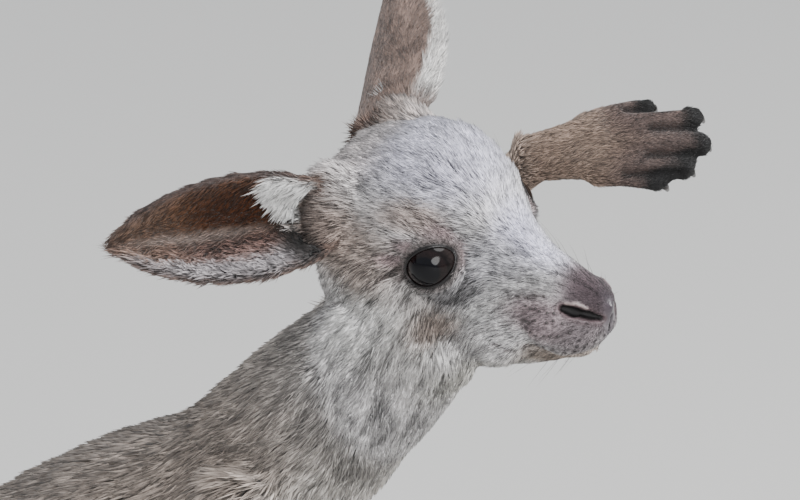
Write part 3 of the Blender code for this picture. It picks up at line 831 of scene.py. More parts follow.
# %% Fingers, pads and soles
finger_ends = [middle[name] for name in nodes if name.startswith("claw")]
to_claw = np.min([np.linalg.norm(skin_points - end, axis=1) for end in finger_ends], axis=0) / MM
is_paw = of_kinds(owner, "forepaw")
pads = is_paw * fade(to_claw, 7.5, 10.5)
change_hair(is_paw * fade(to_claw, 14, 26), length=-0.45, depth=-0.45)
change_hair(pads, depth=-0.6)
height = skin_points[:, 2] / MM
is_foot = of_kinds(owner, "foot", "toes")
sole = is_foot * fade(height, 1.2, 3.0)
hair["number"] *= 1 - np.clip(bare_lid + bare_nose + sole + 0.8 * pads, 0, 1)
bare = np.clip(bare_lid + bare_nose + 0.7 * sole, 0, 1)
bare *= 1 - 0.7 * on_head * fade(crease_gap["nostril"], 0.8, 1.1)
print("hair length in mm:", hair["length"].min().round(1), "to", hair["length"].max().round(1))

# %% [markdown]
# ## Markings
#
# Skin and coat share one set of colours, worked out at each point of the skin. Every part of the
# body has a ground colour. Belly and throat are paler, and the ends of the paws, feet and tail
# darker. On the face, soft-edged patches are laid over one another as a taxidermist would tint a
# mount with an airbrush. Some colours are painted shade rather than markings: under the jowl, in
# the creases between the fingers, round, under and before the eyes and in the fold behind them,
# along the mouth and the cleft, round and inside the nostrils, deep in the ears and among the
# tufts. A pale painted highlight lies on the rim over each nostril. Colours are given as the eye
# sees them, from 0 to 1, and turned into the linear values that Blender mixes at the end.

# %% Ground colours
GROUND = {
    "head": (0.75, 0.74, 0.74), "ear": (0.41, 0.345, 0.315), "neck": (0.62, 0.595, 0.575),
    "trunk": (0.50, 0.46, 0.43), "tail_root": (0.47, 0.43, 0.40), "tail_middle": (0.40, 0.36, 0.335),
    "tail_tip": (0.17, 0.145, 0.13), "thigh": (0.53, 0.485, 0.455), "shank": (0.49, 0.44, 0.41),
    "foot": (0.41, 0.345, 0.295), "toes": (0.24, 0.20, 0.165), "upper_arm": (0.55, 0.51, 0.48),
    "forearm": (0.50, 0.45, 0.415), "forepaw": (0.42, 0.36, 0.32),
}
PALE, SOLE = (0.77, 0.755, 0.735), (0.23, 0.22, 0.225)
FINGER, FINGERTIP_AND_CREASE_SHADE = (0.26, 0.215, 0.205), (0.02, 0.016, 0.018)
BELLY_WAY = np.array([0.55, 0, -0.83])
MIDDLE_PLANE = -6.85 * MM       # sideways place of the body's middle

ground = np.array([GROUND[kind] for kind in kind_of])[owner]
colour = relax(ground, edges, 30)


def tint(colour, share, tone):
    """Mixes a tone into the colours, fully where share is 1."""
    return colour + (np.array(tone) - colour) * np.clip(share, 0, 1)[:, None]


body = of_kinds(owner, "neck", "trunk", "tail_root", "tail_middle", "thigh")
broad_normals = unit(relax(normals, edges, 60))
under = relax(body * ease(broad_normals @ BELLY_WAY, -0.15, 0.75), edges, 24)
colour = tint(colour, under * 0.9, PALE)
by_head = ease(relax(on_head.astype(float), edges, 40), 0.02, 0.45)
# Painted shadow: the neck is darkened just under the jowl, where the head shades it.
jowl_shadow = of_kinds(owner, "neck") * by_head * (face[:, 2] < -15)
colour *= 1 - 0.3 * relax(jowl_shadow, edges, 6)[:, None]
inner_leg = of_kinds(owner, "thigh", "shank")
inward = -normals[:, 1] * np.sign(skin_points[:, 1] - MIDDLE_PLANE)
colour = tint(colour, relax(inner_leg * ease(inward, 0.1, 0.8), edges, 8) * 0.6, PALE)
colour = tint(colour, is_paw * fade(to_claw, 16, 29) * 0.85, FINGER)
# Painted shade in the creases between the fingers, in the same near-black as the real fingertips.
colour = tint(colour, is_paw * np.exp(-(finger_gap(skin_points) / 1.2) ** 2) * 0.5, FINGERTIP_AND_CREASE_SHADE)
colour = tint(colour, is_paw * fade(to_claw, 9, 13.5), FINGERTIP_AND_CREASE_SHADE)
golden = relax(is_foot * ease(height, 1.5, 3.5) * fade(height, 5, 9), edges, 3)
colour = tint(colour, golden * 0.6, (0.47, 0.36, 0.235))
colour = tint(colour, sole, SOLE)
print("ground colours on", len(colour), "points")

# %% Patches of the face: place, radii, tone and strength
FACE_PATCHES = [
    ((-6, 0, 29), (30, 26, 14), (0.81, 0.805, 0.87), 0.9),             # silver forehead
    ((-38, 0, 24), (16, 24, 14), (0.78, 0.745, 0.735), 0.8),           # crown
    ((27, 0, 6), (22, 10, 9), (0.84, 0.835, 0.91), 0.95),              # bridge of the nose
    ((20, 14, 1), (10, 8, 7), (0.71, 0.705, 0.725), 0.8),              # in front of the eye
    ((17, 18, -16), (13, 8, 9), (0.78, 0.775, 0.775), 0.75),           # front of the cheek
    ((-6, 30, -24), (20, 12, 16), (0.70, 0.69, 0.68), 0.75),           # cheek
    ((-22, 33, -24), (12, 10, 14), (0.80, 0.795, 0.79), 0.8),          # back of the cheek
    ((3, 26, -21), (8, 9, 7), (0.42, 0.37, 0.34), 0.8),                # brown smudge low on the cheek
    ((-24, 31, -1), (14, 10, 12), (0.70, 0.64, 0.605), 0.85),          # between eye and ear
    ((-38, 34, 4), (9, 12, 12), (0.55, 0.495, 0.465), 0.9),            # root of the ear
    ((-4, 24, 14), (12, 8, 5), (0.70, 0.645, 0.62), 0.9),              # beige brow
    ((13, 20, -6), (10, 8, 7), (0.42, 0.415, 0.425), 0.6),             # shade before the eye
    ((8, 22, -9.5), (9, 7, 5), (0.30, 0.295, 0.30), 0.85),             # shade under the eye's front
    ((-6, 28, -13), (9, 6, 3.5), (0.46, 0.44, 0.43), 0.5),             # shade under the eye
    ((11.8, 17.2, 8.8), (1.6, 2.4, 3.8), (0.16, 0.145, 0.155), 0.85),  # dark tuft before the lid
    ((47, 0, -5), (8.5, 12, 8), (0.31, 0.265, 0.28), 0.97),            # velvet of the nose
    ((51, 4, -10), (9, 8, 8), (0.255, 0.215, 0.23), 0.97),             # end of the nose
    ((54, 0, -15), (5, 3.4, 8), (0.20, 0.18, 0.205), 0.8),             # dark cleft between the nostrils
    ((36, 13, -16), (12, 9, 7), (0.60, 0.53, 0.545), 0.85),            # whisker pad
    ((47, 8, -20), (9, 8, 7), (0.40, 0.365, 0.375), 0.85),             # upper lip
    ((40, 0, -33), (17, 14, 6), (0.50, 0.44, 0.39), 0.9),              # chin
    ((10, 12, -44), (22, 16, 9), (0.74, 0.73, 0.70), 0.7),             # under the jaw
]
for place, radii, tone, strength in FACE_PATCHES:
    colour = tint(colour, on_head * strength * patch(places, place, radii), tone)
print("patches on the face:", len(FACE_PATCHES))

# %% Fine marks of the face: share and tone, laid on in this order
lip = on_head * fade(crease_gap["mouth"], 1.6, 3.0) * fade(along_mouth, 0.5, 0.8)
# Painted shadow of the fold at the eye's rear corner.
rear_corner_shadow = np.exp(-(across / 1.1) ** 2) * (along < 0) * fade(outside, 3.0, 6.0) * near_eye
FINE_MARKS = [
    (lid_skin * 0.95, (0.55, 0.48, 0.485)),
    (lip * 0.55, (0.72, 0.67, 0.64)),
    # painted shade along the line of the mouth
    (on_head * 0.85 * fade(crease_gap["mouth"], 0.5, 1.1), (0.14, 0.11, 0.11)),
    # painted shade in the cleft under the nose
    (on_head * 0.8 * fade(crease_gap["cleft"], 0.5, 1.2), (0.10, 0.085, 0.095)),
    # painted shade round the eye, darkest near the lid
    (near_eye * fade(outside, 1.5, 5.5) * 0.75, (0.37, 0.345, 0.34)),               # round the eye
    (near_eye * fade(outside, 0.7, 1.6), (0.05, 0.04, 0.04)),                       # black lid margin
    (rear_corner_shadow * 0.9, (0.17, 0.14, 0.14)),
    # painted shade in the fold behind the eye
    (on_head * 0.8 * fade(crease_gap["corner"], 0.4, 1.8), (0.22, 0.19, 0.185)),
    # painted shade round the nostril
    (on_head * 0.8 * fade(crease_gap["nostril"], 1.2, 2.4), (0.33, 0.275, 0.285)),  # round the nostril
    # painted highlight on the wet rim over the nostril
    (on_head * 0.8 * fade(crease_gap["edge"], 0.4, 1.2), (0.62, 0.565, 0.555)),
    # painted shade inside the nostril's opening
    (on_head * fade(crease_gap["nostril"], 0.75, 1.05), (0.03, 0.02, 0.024)),       # inside it
    (on_head * 0.7 * np.exp(-(by_bud / 0.6) ** 2), (0.15, 0.115, 0.125)),           # whisker roots
]
for share, tone in FINE_MARKS:
    colour = tint(colour, share, tone)
print("fine marks on the face:", len(FINE_MARKS))

# %% Ears: brown backs, white front fringe, rust lining
EAR_PATCHES = [    # place along and across the cup, radii, tone and strength
    ((0.45, 0.00), (1.10, 1.30), (0.36, 0.285, 0.265), 1.0),   # dull red-brown lining
    # rust-brown hair in the upper half, darkened with painted shade of the deep cup
    ((0.40, 0.42), (0.75, 0.50), (0.21, 0.105, 0.035), 1.0),   # rust in the upper half
    ((0.95, 0.00), (0.30, 1.20), (0.40, 0.33, 0.29), 0.8),     # browner tip
    ((0.56, -0.08), (0.34, 0.12), (0.56, 0.52, 0.50), 0.65),   # streak of pale hairs
    ((0.45, -0.88), (0.70, 0.26), (0.47, 0.46, 0.47), 0.9),    # grey lower margin
    # painted shade of the ear canal
    ((0.07, -0.45), (0.13, 0.85), (0.05, 0.04, 0.035), 1.0),   # dark way into the ear
]
colour = tint(colour, is_ear * (1 - ear_inside), GROUND["ear"])
on_blade = np.stack([ear_along, ear_across], axis=1)
for place, radii, tone, strength in EAR_PATCHES:
    colour = tint(colour, ear_inside * strength * patch(on_blade, place, radii), tone)
colour = tint(colour, fringe * 1.6, (0.88, 0.875, 0.87))
rim = is_ear * ease(ear_across, 0.90, 0.99) * ease(ear_along, 0.05, 0.25)
colour = tint(colour, rim * 0.9, (0.25, 0.21, 0.20))
EAR_ROOT_SPREAD = {"right": (14, 11, 12), "left": (21, 16, 19)}
for side in SIDES:
    by_root = patch(face, ear_frame[side][0], EAR_ROOT_SPREAD[side])
    colour = tint(colour, on_head * 0.85 * by_root, (0.47, 0.415, 0.385))
colour = tint(colour, white_margin * 1.5, (0.84, 0.83, 0.82))


def to_linear(seen):
    """Colours as the eye sees them, turned into the values that Blender mixes."""
    seen = np.clip(seen, 0, 1)
    return np.where(seen <= 0.04045, seen / 12.92, ((seen + 0.055) / 1.055) ** 2.4)


def write_colour(mesh, name, tones):
    """Stores one colour for each point of a mesh."""
    layer = mesh.attributes.new(name, "FLOAT_COLOR", "POINT")
    rows = np.concatenate([tones, np.ones((len(tones), 1))], axis=1)
    layer.data.foreach_set("color", rows.astype(np.float32).ravel())


speckle = 1 + 0.07 * cloudy(skin_points, 3 * MM, 1) + 0.06 * cloudy(skin_points, 14 * MM, 2)
coat_colour = to_linear(colour * speckle[:, None])
# The skin under deep hair is darkened: partly darker underfur, partly painted shade between the tufts.
underfur_and_shade = 1 - 0.45 * (1 - bare) * np.clip(hair["depth"] / 1.5, 0, 1)
write_colour(mesh, "coat", coat_colour * underfur_and_shade[:, None])
layer = mesh.attributes.new("bare", "FLOAT", "POINT")
layer.data.foreach_set("value", bare.astype(np.float32))
print("mean colour of the coat:", coat_colour.mean(0).round(3).tolist())

# %% [markdown]
# ## Materials of skin and coat
#
# Both read the same "coat" colours. A node group called mottle breaks them up with fine noise, so
# that no patch is flat, and another called grain gives the bump height of pores. The shader stays
# in each material with its own roughness. Fur is rough with a little sheen, where the light skims
# over the hair tips. Bare skin is smoother and catches more light.

# %% Node groups
def new_group(name, inputs, outputs):
    """An empty node group, with its input and output nodes."""
    group = bpy.data.node_groups.new(name, "ShaderNodeTree")
    for direction, sockets in (("INPUT", inputs), ("OUTPUT", outputs)):
        for label, kind, value in sockets:
            socket = group.interface.new_socket(label, in_out=direction, socket_type=kind)
            if value is not None:
                socket.default_value = value
    return group, group.nodes.new("NodeGroupInput"), group.nodes.new("NodeGroupOutput")


def add_node(tree, kind, **settings):
    """A node with its sockets or settings filled in."""
    node = tree.nodes.new(kind)
    for key, value in settings.items():
        if key in node.inputs:
            node.inputs[key].default_value = value
        else:
            setattr(node, key, value)
    return node


mottle, take, give = new_group(
    "mottle", [("Colour", "NodeSocketColor", (1, 1, 1, 1)), ("Place", "NodeSocketVector", None),
               ("Scale", "NodeSocketFloat", 400.0), ("Low", "NodeSocketFloat", 0.8),
               ("High", "NodeSocketFloat", 1.2)],
    [("Colour", "NodeSocketColor", None)])
noise = add_node(mottle, "ShaderNodeTexNoise", Detail=3.0, Roughness=0.6)
spread = add_node(mottle, "ShaderNodeMapRange")
mix = add_node(mottle, "ShaderNodeMix", data_type="RGBA", blend_type="MULTIPLY")
mix.inputs[0].default_value = 1.0
mottle.links.new(take.outputs["Place"], noise.inputs["Vector"])
mottle.links.new(take.outputs["Scale"], noise.inputs["Scale"])
mottle.links.new(noise.outputs["Fac"], spread.inputs["Value"])
spread.inputs["From Min"].default_value = 0.3
spread.inputs["From Max"].default_value = 0.7
mottle.links.new(take.outputs["Low"], spread.inputs["To Min"])
mottle.links.new(take.outputs["High"], spread.inputs["To Max"])
mottle.links.new(take.outputs["Colour"], mix.inputs[6])
mottle.links.new(spread.outputs["Result"], mix.inputs[7])
mottle.links.new(mix.outputs[2], give.inputs["Colour"])

grain, take, give = new_group(
    "grain", [("Place", "NodeSocketVector", None), ("Scale", "NodeSocketFloat", 1200.0)],
    [("Height", "NodeSocketFloat", None)])
pores = add_node(grain, "ShaderNodeTexVoronoi", feature="SMOOTH_F1", Smoothness=0.4)
fine_noise = add_node(grain, "ShaderNodeTexNoise", Detail=2.0)
blend_node = add_node(grain, "ShaderNodeMix", data_type="FLOAT")
blend_node.inputs[0].default_value = 0.5
for texture in (pores, fine_noise):
    grain.links.new(take.outputs["Place"], texture.inputs["Vector"])
    grain.links.new(take.outputs["Scale"], texture.inputs["Scale"])
grain.links.new(pores.outputs["Distance"], blend_node.inputs[2])
grain.links.new(fine_noise.outputs["Fac"], blend_node.inputs[3])
grain.links.new(blend_node.outputs[0], give.inputs["Height"])
print("groups:", [g.name for g in bpy.data.node_groups])


# %% Skin and coat
def group_node(tree, group, **values):
    """A node that stands for a node group."""
    node = tree.nodes.new("ShaderNodeGroup")
    node.node_tree = group
    for key, value in values.items():
        node.inputs[key].default_value = value
    return node


def coat_based(name, roughness, mottle_scale, low, high):
    """A material whose base colour is the piece's own coat colour, mottled."""
    material = plain_material(name, (0.4, 0.4, 0.4), roughness)
    tree = material.node_tree
    place = add_node(tree, "ShaderNodeTexCoord", name="place")
    tone = add_node(tree, "ShaderNodeAttribute", attribute_name="coat")
    broken = group_node(tree, mottle, Scale=mottle_scale, Low=low, High=high)
    tree.links.new(tone.outputs["Color"], broken.inputs["Colour"])
    tree.links.new(place.outputs["Object"], broken.inputs["Place"])
    tree.links.new(broken.outputs["Colour"], shader_of(material).inputs["Base Color"])
    return material


def add_pores(material, scale, strength, distance):
    """Bumps of the grain group on a material that coat_based has made."""
    tree = material.node_tree
    pore_height = group_node(tree, grain, Scale=scale)
    bump = add_node(tree, "ShaderNodeBump", Strength=strength, Distance=distance)
    tree.links.new(tree.nodes["place"].outputs["Object"], pore_height.inputs["Place"])
    tree.links.new(pore_height.outputs["Height"], bump.inputs["Height"])
    tree.links.new(bump.outputs["Normal"], shader_of(material).inputs["Normal"])


skin_material = coat_based("kangaroo_skin", 0.6, 700.0, 0.75, 1.25)
add_pores(skin_material, 1400.0, 0.35, 0.25 * MM)
tree, shader = skin_material.node_tree, shader_of(skin_material)
bareness = add_node(tree, "ShaderNodeAttribute", attribute_name="bare")
smoother = add_node(tree, "ShaderNodeMapRange")
smoother.inputs["To Min"].default_value = 0.8
smoother.inputs["To Max"].default_value = 0.28
tree.links.new(bareness.outputs["Fac"], smoother.inputs["Value"])
tree.links.new(smoother.outputs["Result"], shader.inputs["Roughness"])
shader.inputs["Specular IOR Level"].default_value = 0.35

coat_material = coat_based("kangaroo_coat", 0.62, 350.0, 0.85, 1.15)
shader = shader_of(coat_material)
shader.inputs["Specular IOR Level"].default_value = 0.2
shader.inputs["Sheen Weight"].default_value = 0.1
shader.inputs["Sheen Roughness"].default_value = 0.5

dress(skin, skin_material)
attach(skin, "root")
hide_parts(*flesh)
print("materials:", [m.name for m in bpy.data.materials])

# %% [markdown]
# ## Tufts
#
# One tuft is a lock of a few hairs: a closed sliver with four points, two at the root, one on the
# raised back and one at the tip. That is the least a solid lock can have, so a whole coat of them
# stays light. Roots are scattered over the skin's triangles, more where the coat is dense. Each
# tuft takes its lie, size and colour from the skin below it, and a slow random swing makes
# neighbours lean together, the way real fur parts into locks. Agouti hairs are banded, so some
# tufts come out dark and some pale. The map OFBake gives every tuft its own small patch, at its
# root's place on the body unrolled round its length.

# %% Plant tufts
triangles = np.empty(len(mesh.polygons) * 3, np.int32)
mesh.polygons.foreach_get("vertices", triangles)
triangles = triangles.reshape(-1, 3)
triangle_owner = owner[triangles[:, 0]]
first, second, third = (skin_points[triangles[:, k]] for k in range(3))
triangle_area = np.linalg.norm(np.cross(second - first, third - first), axis=1) / 2 / MM ** 2
triangle_number = hair["number"][triangles].mean(1) * triangle_area

PATCH = 0.003                               # width of a tuft's patch on the map
ROOT_SUNK, LOWEST = 0.3 * MM, 0.1 * MM      # roots in the skin, and no tuft under the floor
BACK_ALONG, BACK_RISE, BACK_PLUMP = 0.42, 0.60, 0.30    # where the back's point stands
BROAD_SWING, FINE_SWING, OWN_SWING = 0.38, 0.16, 0.17
DARK_BELOW, PALE_ABOVE = 0.17, 0.78         # chances from 0 to 1
DARK_TONE, PALE_TONE, TONE_LIMIT = 0.42, 1.5, 1.7
BRIGHTNESS, COLOUR_LIMIT = 1.1, 0.92
# Roots are darker than tips: the hairs' own dark bases, deepened as painted shade down among the tufts.
ROOT_TONE, BACK_TONE, TIP_TONE = 0.28, 0.78, 1.6


def unroll(points, kinds):
    """Places from 0 to 1 on the body unrolled round the axis of the part it belongs to."""
    u, v = np.zeros(len(points)), np.zeros(len(points))
    for number in np.unique(kinds):
        name = flesh[number]
        here = kinds == number
        low, high = (np.array(corner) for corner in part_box(name))
        axis = along_node[name]
        side_way = unit(np.cross(axis, (0.13, 0.21, 0.97)))
        offset = points[here] - (low + high) / 2
        turn = np.arctan2(offset @ np.cross(axis, side_way), offset @ side_way)
        length = np.linalg.norm(high - low)
        u[here] = turn / (2 * np.pi) + 0.5
        v[here] = np.clip(offset @ axis / length + 0.5, 0, 1)
    return np.stack([u, v], axis=1)


def solid_slivers(name, points, tones, roots):
    """A mesh of four-point slivers from points (n, 4, 3), colours (n, 4, 3) and map places (n, 2)."""
    count = len(points)
    coat = bpy.data.meshes.new(name)
    coat.vertices.add(count * 4)
    coat.vertices.foreach_set("co", points.astype(np.float32).ravel())
    corners = np.array([[0, 2, 3], [2, 1, 3], [0, 3, 1], [0, 1, 2]])
    faces = (np.arange(count)[:, None, None] * 4 + corners).reshape(-1)
    coat.loops.add(len(faces))
    coat.loops.foreach_set("vertex_index", faces.astype(np.int32))
    coat.polygons.add(count * 4)
    coat.polygons.foreach_set("loop_start", np.arange(0, count * 12, 3, dtype=np.int32))
    coat.update(calc_edges=True)
    write_colour(coat, "coat", tones.reshape(-1, 3))
    spread_out = np.array([[0, 0], [1, 0], [0.5, 0.5], [0.5, 1]]) * PATCH
    maps = roots[:, None, :] * (1 - PATCH) + spread_out
    layer = coat.uv_layers.new(name="OFBake")
    layer.uv.foreach_set("vector", maps[:, corners.ravel()].astype(np.float32).ravel())
    piece = bpy.data.objects.new(name, coat)
    bpy.context.scene.collection.objects.link(piece)
    dress(piece, coat_material)
    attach(piece, "root")
    return piece


def plant(name, chosen, parting=0.75, spread=0.32):
    """Plants tufts over the chosen triangles.

    More parting sets dark and pale locks further apart, and more spread does so for single tufts.
    """
    picked = np.flatnonzero(chosen)
    reach = np.cumsum(triangle_number[picked])
    count = int(reach[-1])
    place = np.searchsorted(reach, (np.arange(count) + random.random(count)) * reach[-1] / count)
    corners = triangles[picked[np.minimum(place, len(picked) - 1)]]
    one, two = np.sqrt(random.random(count)), random.random(count)
    weights = np.stack([1 - one, one * (1 - two), one * two], axis=1)

    def at(values):
        rows = values[corners]
        return (rows * (weights if rows.ndim == 2 else weights[:, :, None])).sum(1)

    root, up = at(skin_points), unit(at(normals))
    lie = at(flow)
    lie = unit(lie - up * (lie * up).sum(1, keepdims=True))
    from_middle = root - root.mean(0)
    squeezed = from_middle - 0.88 * lie * (from_middle * lie).sum(1, keepdims=True)
    lock = cloudy(squeezed, 2.4 * MM * at(hair["width"]).mean(), 7)
    side = np.cross(up, lie)
    swing = BROAD_SWING * cloudy(root, 7 * MM, 3) + FINE_SWING * cloudy(root, 2.5 * MM, 4)
    swing = swing + OWN_SWING * random.standard_normal(count)
    lie = lie * np.cos(swing)[:, None] + side * np.sin(swing)[:, None]
    side = np.cross(up, lie)
    long = at(hair["length"]) * MM * np.exp(0.16 * random.standard_normal(count))
    deep = at(hair["depth"]) * MM
    rise = deep * (0.62 + 0.42 * random.random(count) + 0.16 * cloudy(root, 9 * MM, 5))
    rise = np.minimum(rise, 0.75 * long)
    run = np.sqrt(long ** 2 - rise ** 2)
    wide = at(hair["width"]) * MM * (0.75 + 0.5 * random.random(count))
    base = root - up * np.minimum(ROOT_SUNK, 0.5 * deep)[:, None]
    points = np.stack([
        base - side * (wide / 2)[:, None],
        base + side * (wide / 2)[:, None],
        root + lie * (run * BACK_ALONG)[:, None] + up * (rise * BACK_RISE + wide * BACK_PLUMP)[:, None],
        root + lie * run[:, None] + up * rise[:, None],
    ], axis=1)
    points[:, :, 2] = np.maximum(points[:, :, 2], LOWEST)
    chance = random.random(count)
    tone = np.exp(spread * random.standard_normal(count))
    tone = np.where(chance > PALE_ABOVE, tone * PALE_TONE, tone)
    tone = np.where(chance < DARK_BELOW, tone * DARK_TONE, tone)
    tone = tone * (1 + 0.14 * cloudy(root, 6 * MM, 6)) * np.exp(parting * lock)
    hue = at(coat_colour) * BRIGHTNESS * np.minimum(tone, TONE_LIMIT)[:, None]
    tones = np.stack([hue * ROOT_TONE, hue * ROOT_TONE, hue * BACK_TONE, hue * TIP_TONE], axis=1)
    tones /= np.maximum(1, tones.max(2, keepdims=True) / COLOUR_LIMIT)
    return solid_slivers(name, points, tones, unroll(root, owner[corners[:, 0]]))


def on_kinds(*kinds):
    """The triangles on solids of these kinds."""
    return of_kinds(triangle_owner, *kinds)


for kind in COAT:
    here = on_kinds(kind)
    print(kind, "area", int(triangle_area[here].sum()), "mm2, tufts", int(triangle_number[here].sum()))

# %% [markdown]
# The head takes a quarter of all tufts, since its hair is the finest. No piece gets more than
# fifty thousand, so the head is planted in three parts and the trunk in two lengths.

# %% Coat of the head and ears
left_half = face[triangles[:, 0], 1] > 0
head_here = on_kinds("head")
before_eyes = face[triangles[:, 0], 0] > 12
plant("coat_muzzle", head_here & before_eyes, 1.2, 0.45)
plant("coat_head_left", head_here & ~before_eyes & left_half, 1.5, 0.5)
plant("coat_head_right", head_here & ~before_eyes & ~left_half, 1.5, 0.5)
plant("coat_ears", on_kinds("ear"))

# %% Coat of the body
trunk_here = on_kinds("trunk")
front_half = skin_points[triangles[:, 0], 0] > middle["trunk"][0]
plant("coat_shoulders", on_kinds("neck") | trunk_here & front_half)
plant("coat_rump", trunk_here & ~front_half)
plant("coat_tail", on_kinds("tail_root", "tail_middle", "tail_tip"))
plant("coat_thighs", on_kinds("thigh"))
plant("coat_shanks", on_kinds("shank"))
plant("coat_feet", on_kinds("foot", "toes"))
plant("coat_arms", on_kinds("upper_arm", "forearm"))
plant("coat_forepaws", on_kinds("forepaw"))
coats = [o for o in bpy.data.objects if o.name.startswith("coat_")]
print("coat:", {o.name: len(o.data.polygons) for o in coats})
print("coat in all:", sum(len(o.data.polygons) for o in coats), "triangles")

# %% [markdown]
# ## Whiskers, brow hairs and lashes
#
# These are single stiff hairs, so each is a thin round rod, bent by its own weight and ending in
# a point. A bundle is made as one mesh: rings of three points are laid along every hair, and the
# rings are joined by faces. Dark hairs grow on the pads and at the front of the upper lid, and
# paler ones behind.

# %% Make single hairs
SEGMENTS, SECTION = 7, 3
WHISKER_WIDTH, LASH_WIDTH = 0.14 * MM, 0.11 * MM


def hair_bundle(name, roots, ways, bends, lengths, widths, tone):
    """Closed tapering rods: rows of roots, first directions, bends, lengths and widths in metres."""
    count = len(roots)
    share = np.linspace(0, 1, SEGMENTS + 1)[None, :, None]
    bent = ways[:, None] * share + bends[:, None] * share ** 2
    path = roots[:, None] + bent * lengths[:, None, None]
    along = unit(ways[:, None] + 2 * bends[:, None] * share)
    side = unit(np.cross(along, (0.31, 0.17, 0.93)))
    turns = np.arange(SECTION) * 2 * np.pi / SECTION
    round_it = (side[:, :, None] * np.cos(turns)[:, None]
                + np.cross(along, side)[:, :, None] * np.sin(turns)[:, None])
    thick = widths[:, None, None, None] / 2 * (1 - 0.92 * share[:, :, :, None] ** 1.5)
    points = (path[:, :, None] + round_it * thick).reshape(-1, 3)
    bm = bmesh.new()
    made = [bm.verts.new(point) for point in points]
    per_hair = (SEGMENTS + 1) * SECTION
    for rod in range(count):
        first = rod * per_hair
        for ring in range(SEGMENTS):
            for k in range(SECTION):
                a, b = first + ring * SECTION + k, first + ring * SECTION + (k + 1) % SECTION
                bm.faces.new((made[a], made[b], made[b + SECTION], made[a + SECTION]))
        bm.faces.new([made[first + k] for k in reversed(range(SECTION))])
        bm.faces.new([made[first + per_hair - SECTION + k] for k in range(SECTION)])
    bmesh.ops.triangulate(bm, faces=bm.faces)
    piece = new_piece(name, bm)
    tones = np.tile(tone, (count, 1)) * random.uniform(0.8, 1.2, (count, 1))
    write_colour(piece.data, "coat", np.repeat(tones, per_hair, axis=0))
    dress(piece, hair_material)
    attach(piece, "root")
    return piece


hair_material = coat_based("whisker", 0.35, 900.0, 0.85, 1.15)
roots, ups, lies = (rows[whisker_roots] for rows in (skin_points, normals, flow))
ways = unit(ups * 0.75 + lies * 0.85 + random.normal(0, 0.09, roots.shape))
bends = lies * 0.30 + (0, 0, -0.16) + random.normal(0, 0.05, roots.shape)
on_pad = (whisker_places[:, 0] > 25) & (whisker_places[:, 2] > -30)
lengths = np.where(on_pad, 0.011 + 0.016 * ease(-whisker_places[:, 0], -46, -28), 0.011)
lengths = lengths * random.uniform(0.75, 1.15, len(roots))
whiskers = hair_bundle("whiskers", roots - ways * 0.5 * MM, ways, bends, lengths,
                       np.full(len(roots), WHISKER_WIDTH), (0.045, 0.038, 0.036))
print("whiskers:", len(whiskers.data.polygons), "triangles")

# %% Each whisker leaves the skin through a dark bud
BUD_RADIUS, BUD_FLATNESS = 0.5 * MM, 0.6

bm = bmesh.new()
flatten = Matrix.Diagonal((1, 1, BUD_FLATNESS, 1))
for root, up, depth in zip(roots[on_pad], ups[on_pad], hair["depth"][whisker_roots][on_pad]):
    matrix = Vector(up).to_track_quat("Z", "Y").to_matrix().to_4x4() @ flatten
    matrix.translation = root + up * (depth * MM + BUD_RADIUS * 0.9)
    bmesh.ops.create_icosphere(bm, subdivisions=2, radius=BUD_RADIUS, matrix=matrix)
buds = new_piece("whisker_buds", bm)
write_colour(buds.data, "coat", np.tile((0.035, 0.028, 0.028), (len(buds.data.vertices), 1)))
dress(buds, hair_material)
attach(buds, "root")
print("whisker buds:", len(buds.data.polygons), "triangles")

# %% Lashes stand on the lids' outer edges
LASHES = {      # first and last turn round the opening in degrees, number, length in mm and tone
    "front_lashes": (8, 62, 26, 3.6, (0.03, 0.024, 0.024)),
    "upper_lashes": (62, 168, 44, 5.2, (0.10, 0.085, 0.08)),
    "lower_lashes": (200, 345, 34, 2.2, (0.05, 0.042, 0.04)),
}
for name, (first_turn, last_turn, count, reach, tone) in LASHES.items():
    lash_roots, lash_ways, lash_bends = [], [], []
    for side, sign in SIDES.items():
        turns = np.linspace(first_turn, last_turn, count) + random.normal(0, 1.2, count)
        for turn in np.radians(turns):
            low = on_eye(turn, 1.2, 0.9, side)
            high = on_eye(turn, 3.2, 2.6, side)
            lash_roots.append(from_head(low))
            lash_ways.append(head_axes @ (high - low + random.normal(0, 0.3, 3)))
            bend = np.array((-0.25, 0.1 * sign, -0.15)) + random.normal(0, 0.1, 3)
            lash_bends.append(head_axes @ bend)
    lash_roots, lash_ways = np.array(lash_roots), unit(np.array(lash_ways))
    total = len(lash_roots)
    hair_bundle(name, lash_roots, lash_ways, np.array(lash_bends),
                reach * MM * random.uniform(0.7, 1.2, total), np.full(total, LASH_WIDTH), tone)

# %% [markdown]
# ## Eyes
#
# The eyeball is a sphere whose pole looks out of the opening, with the cornea bulging a little in
# front of the iris. Its colour depends only on the distance from that pole, stored at each point:
# black pupil, almost black brown iris, a darker ring and then dark brown, and fine mottling lies
# over them all. A low roughness gives the wet shine.

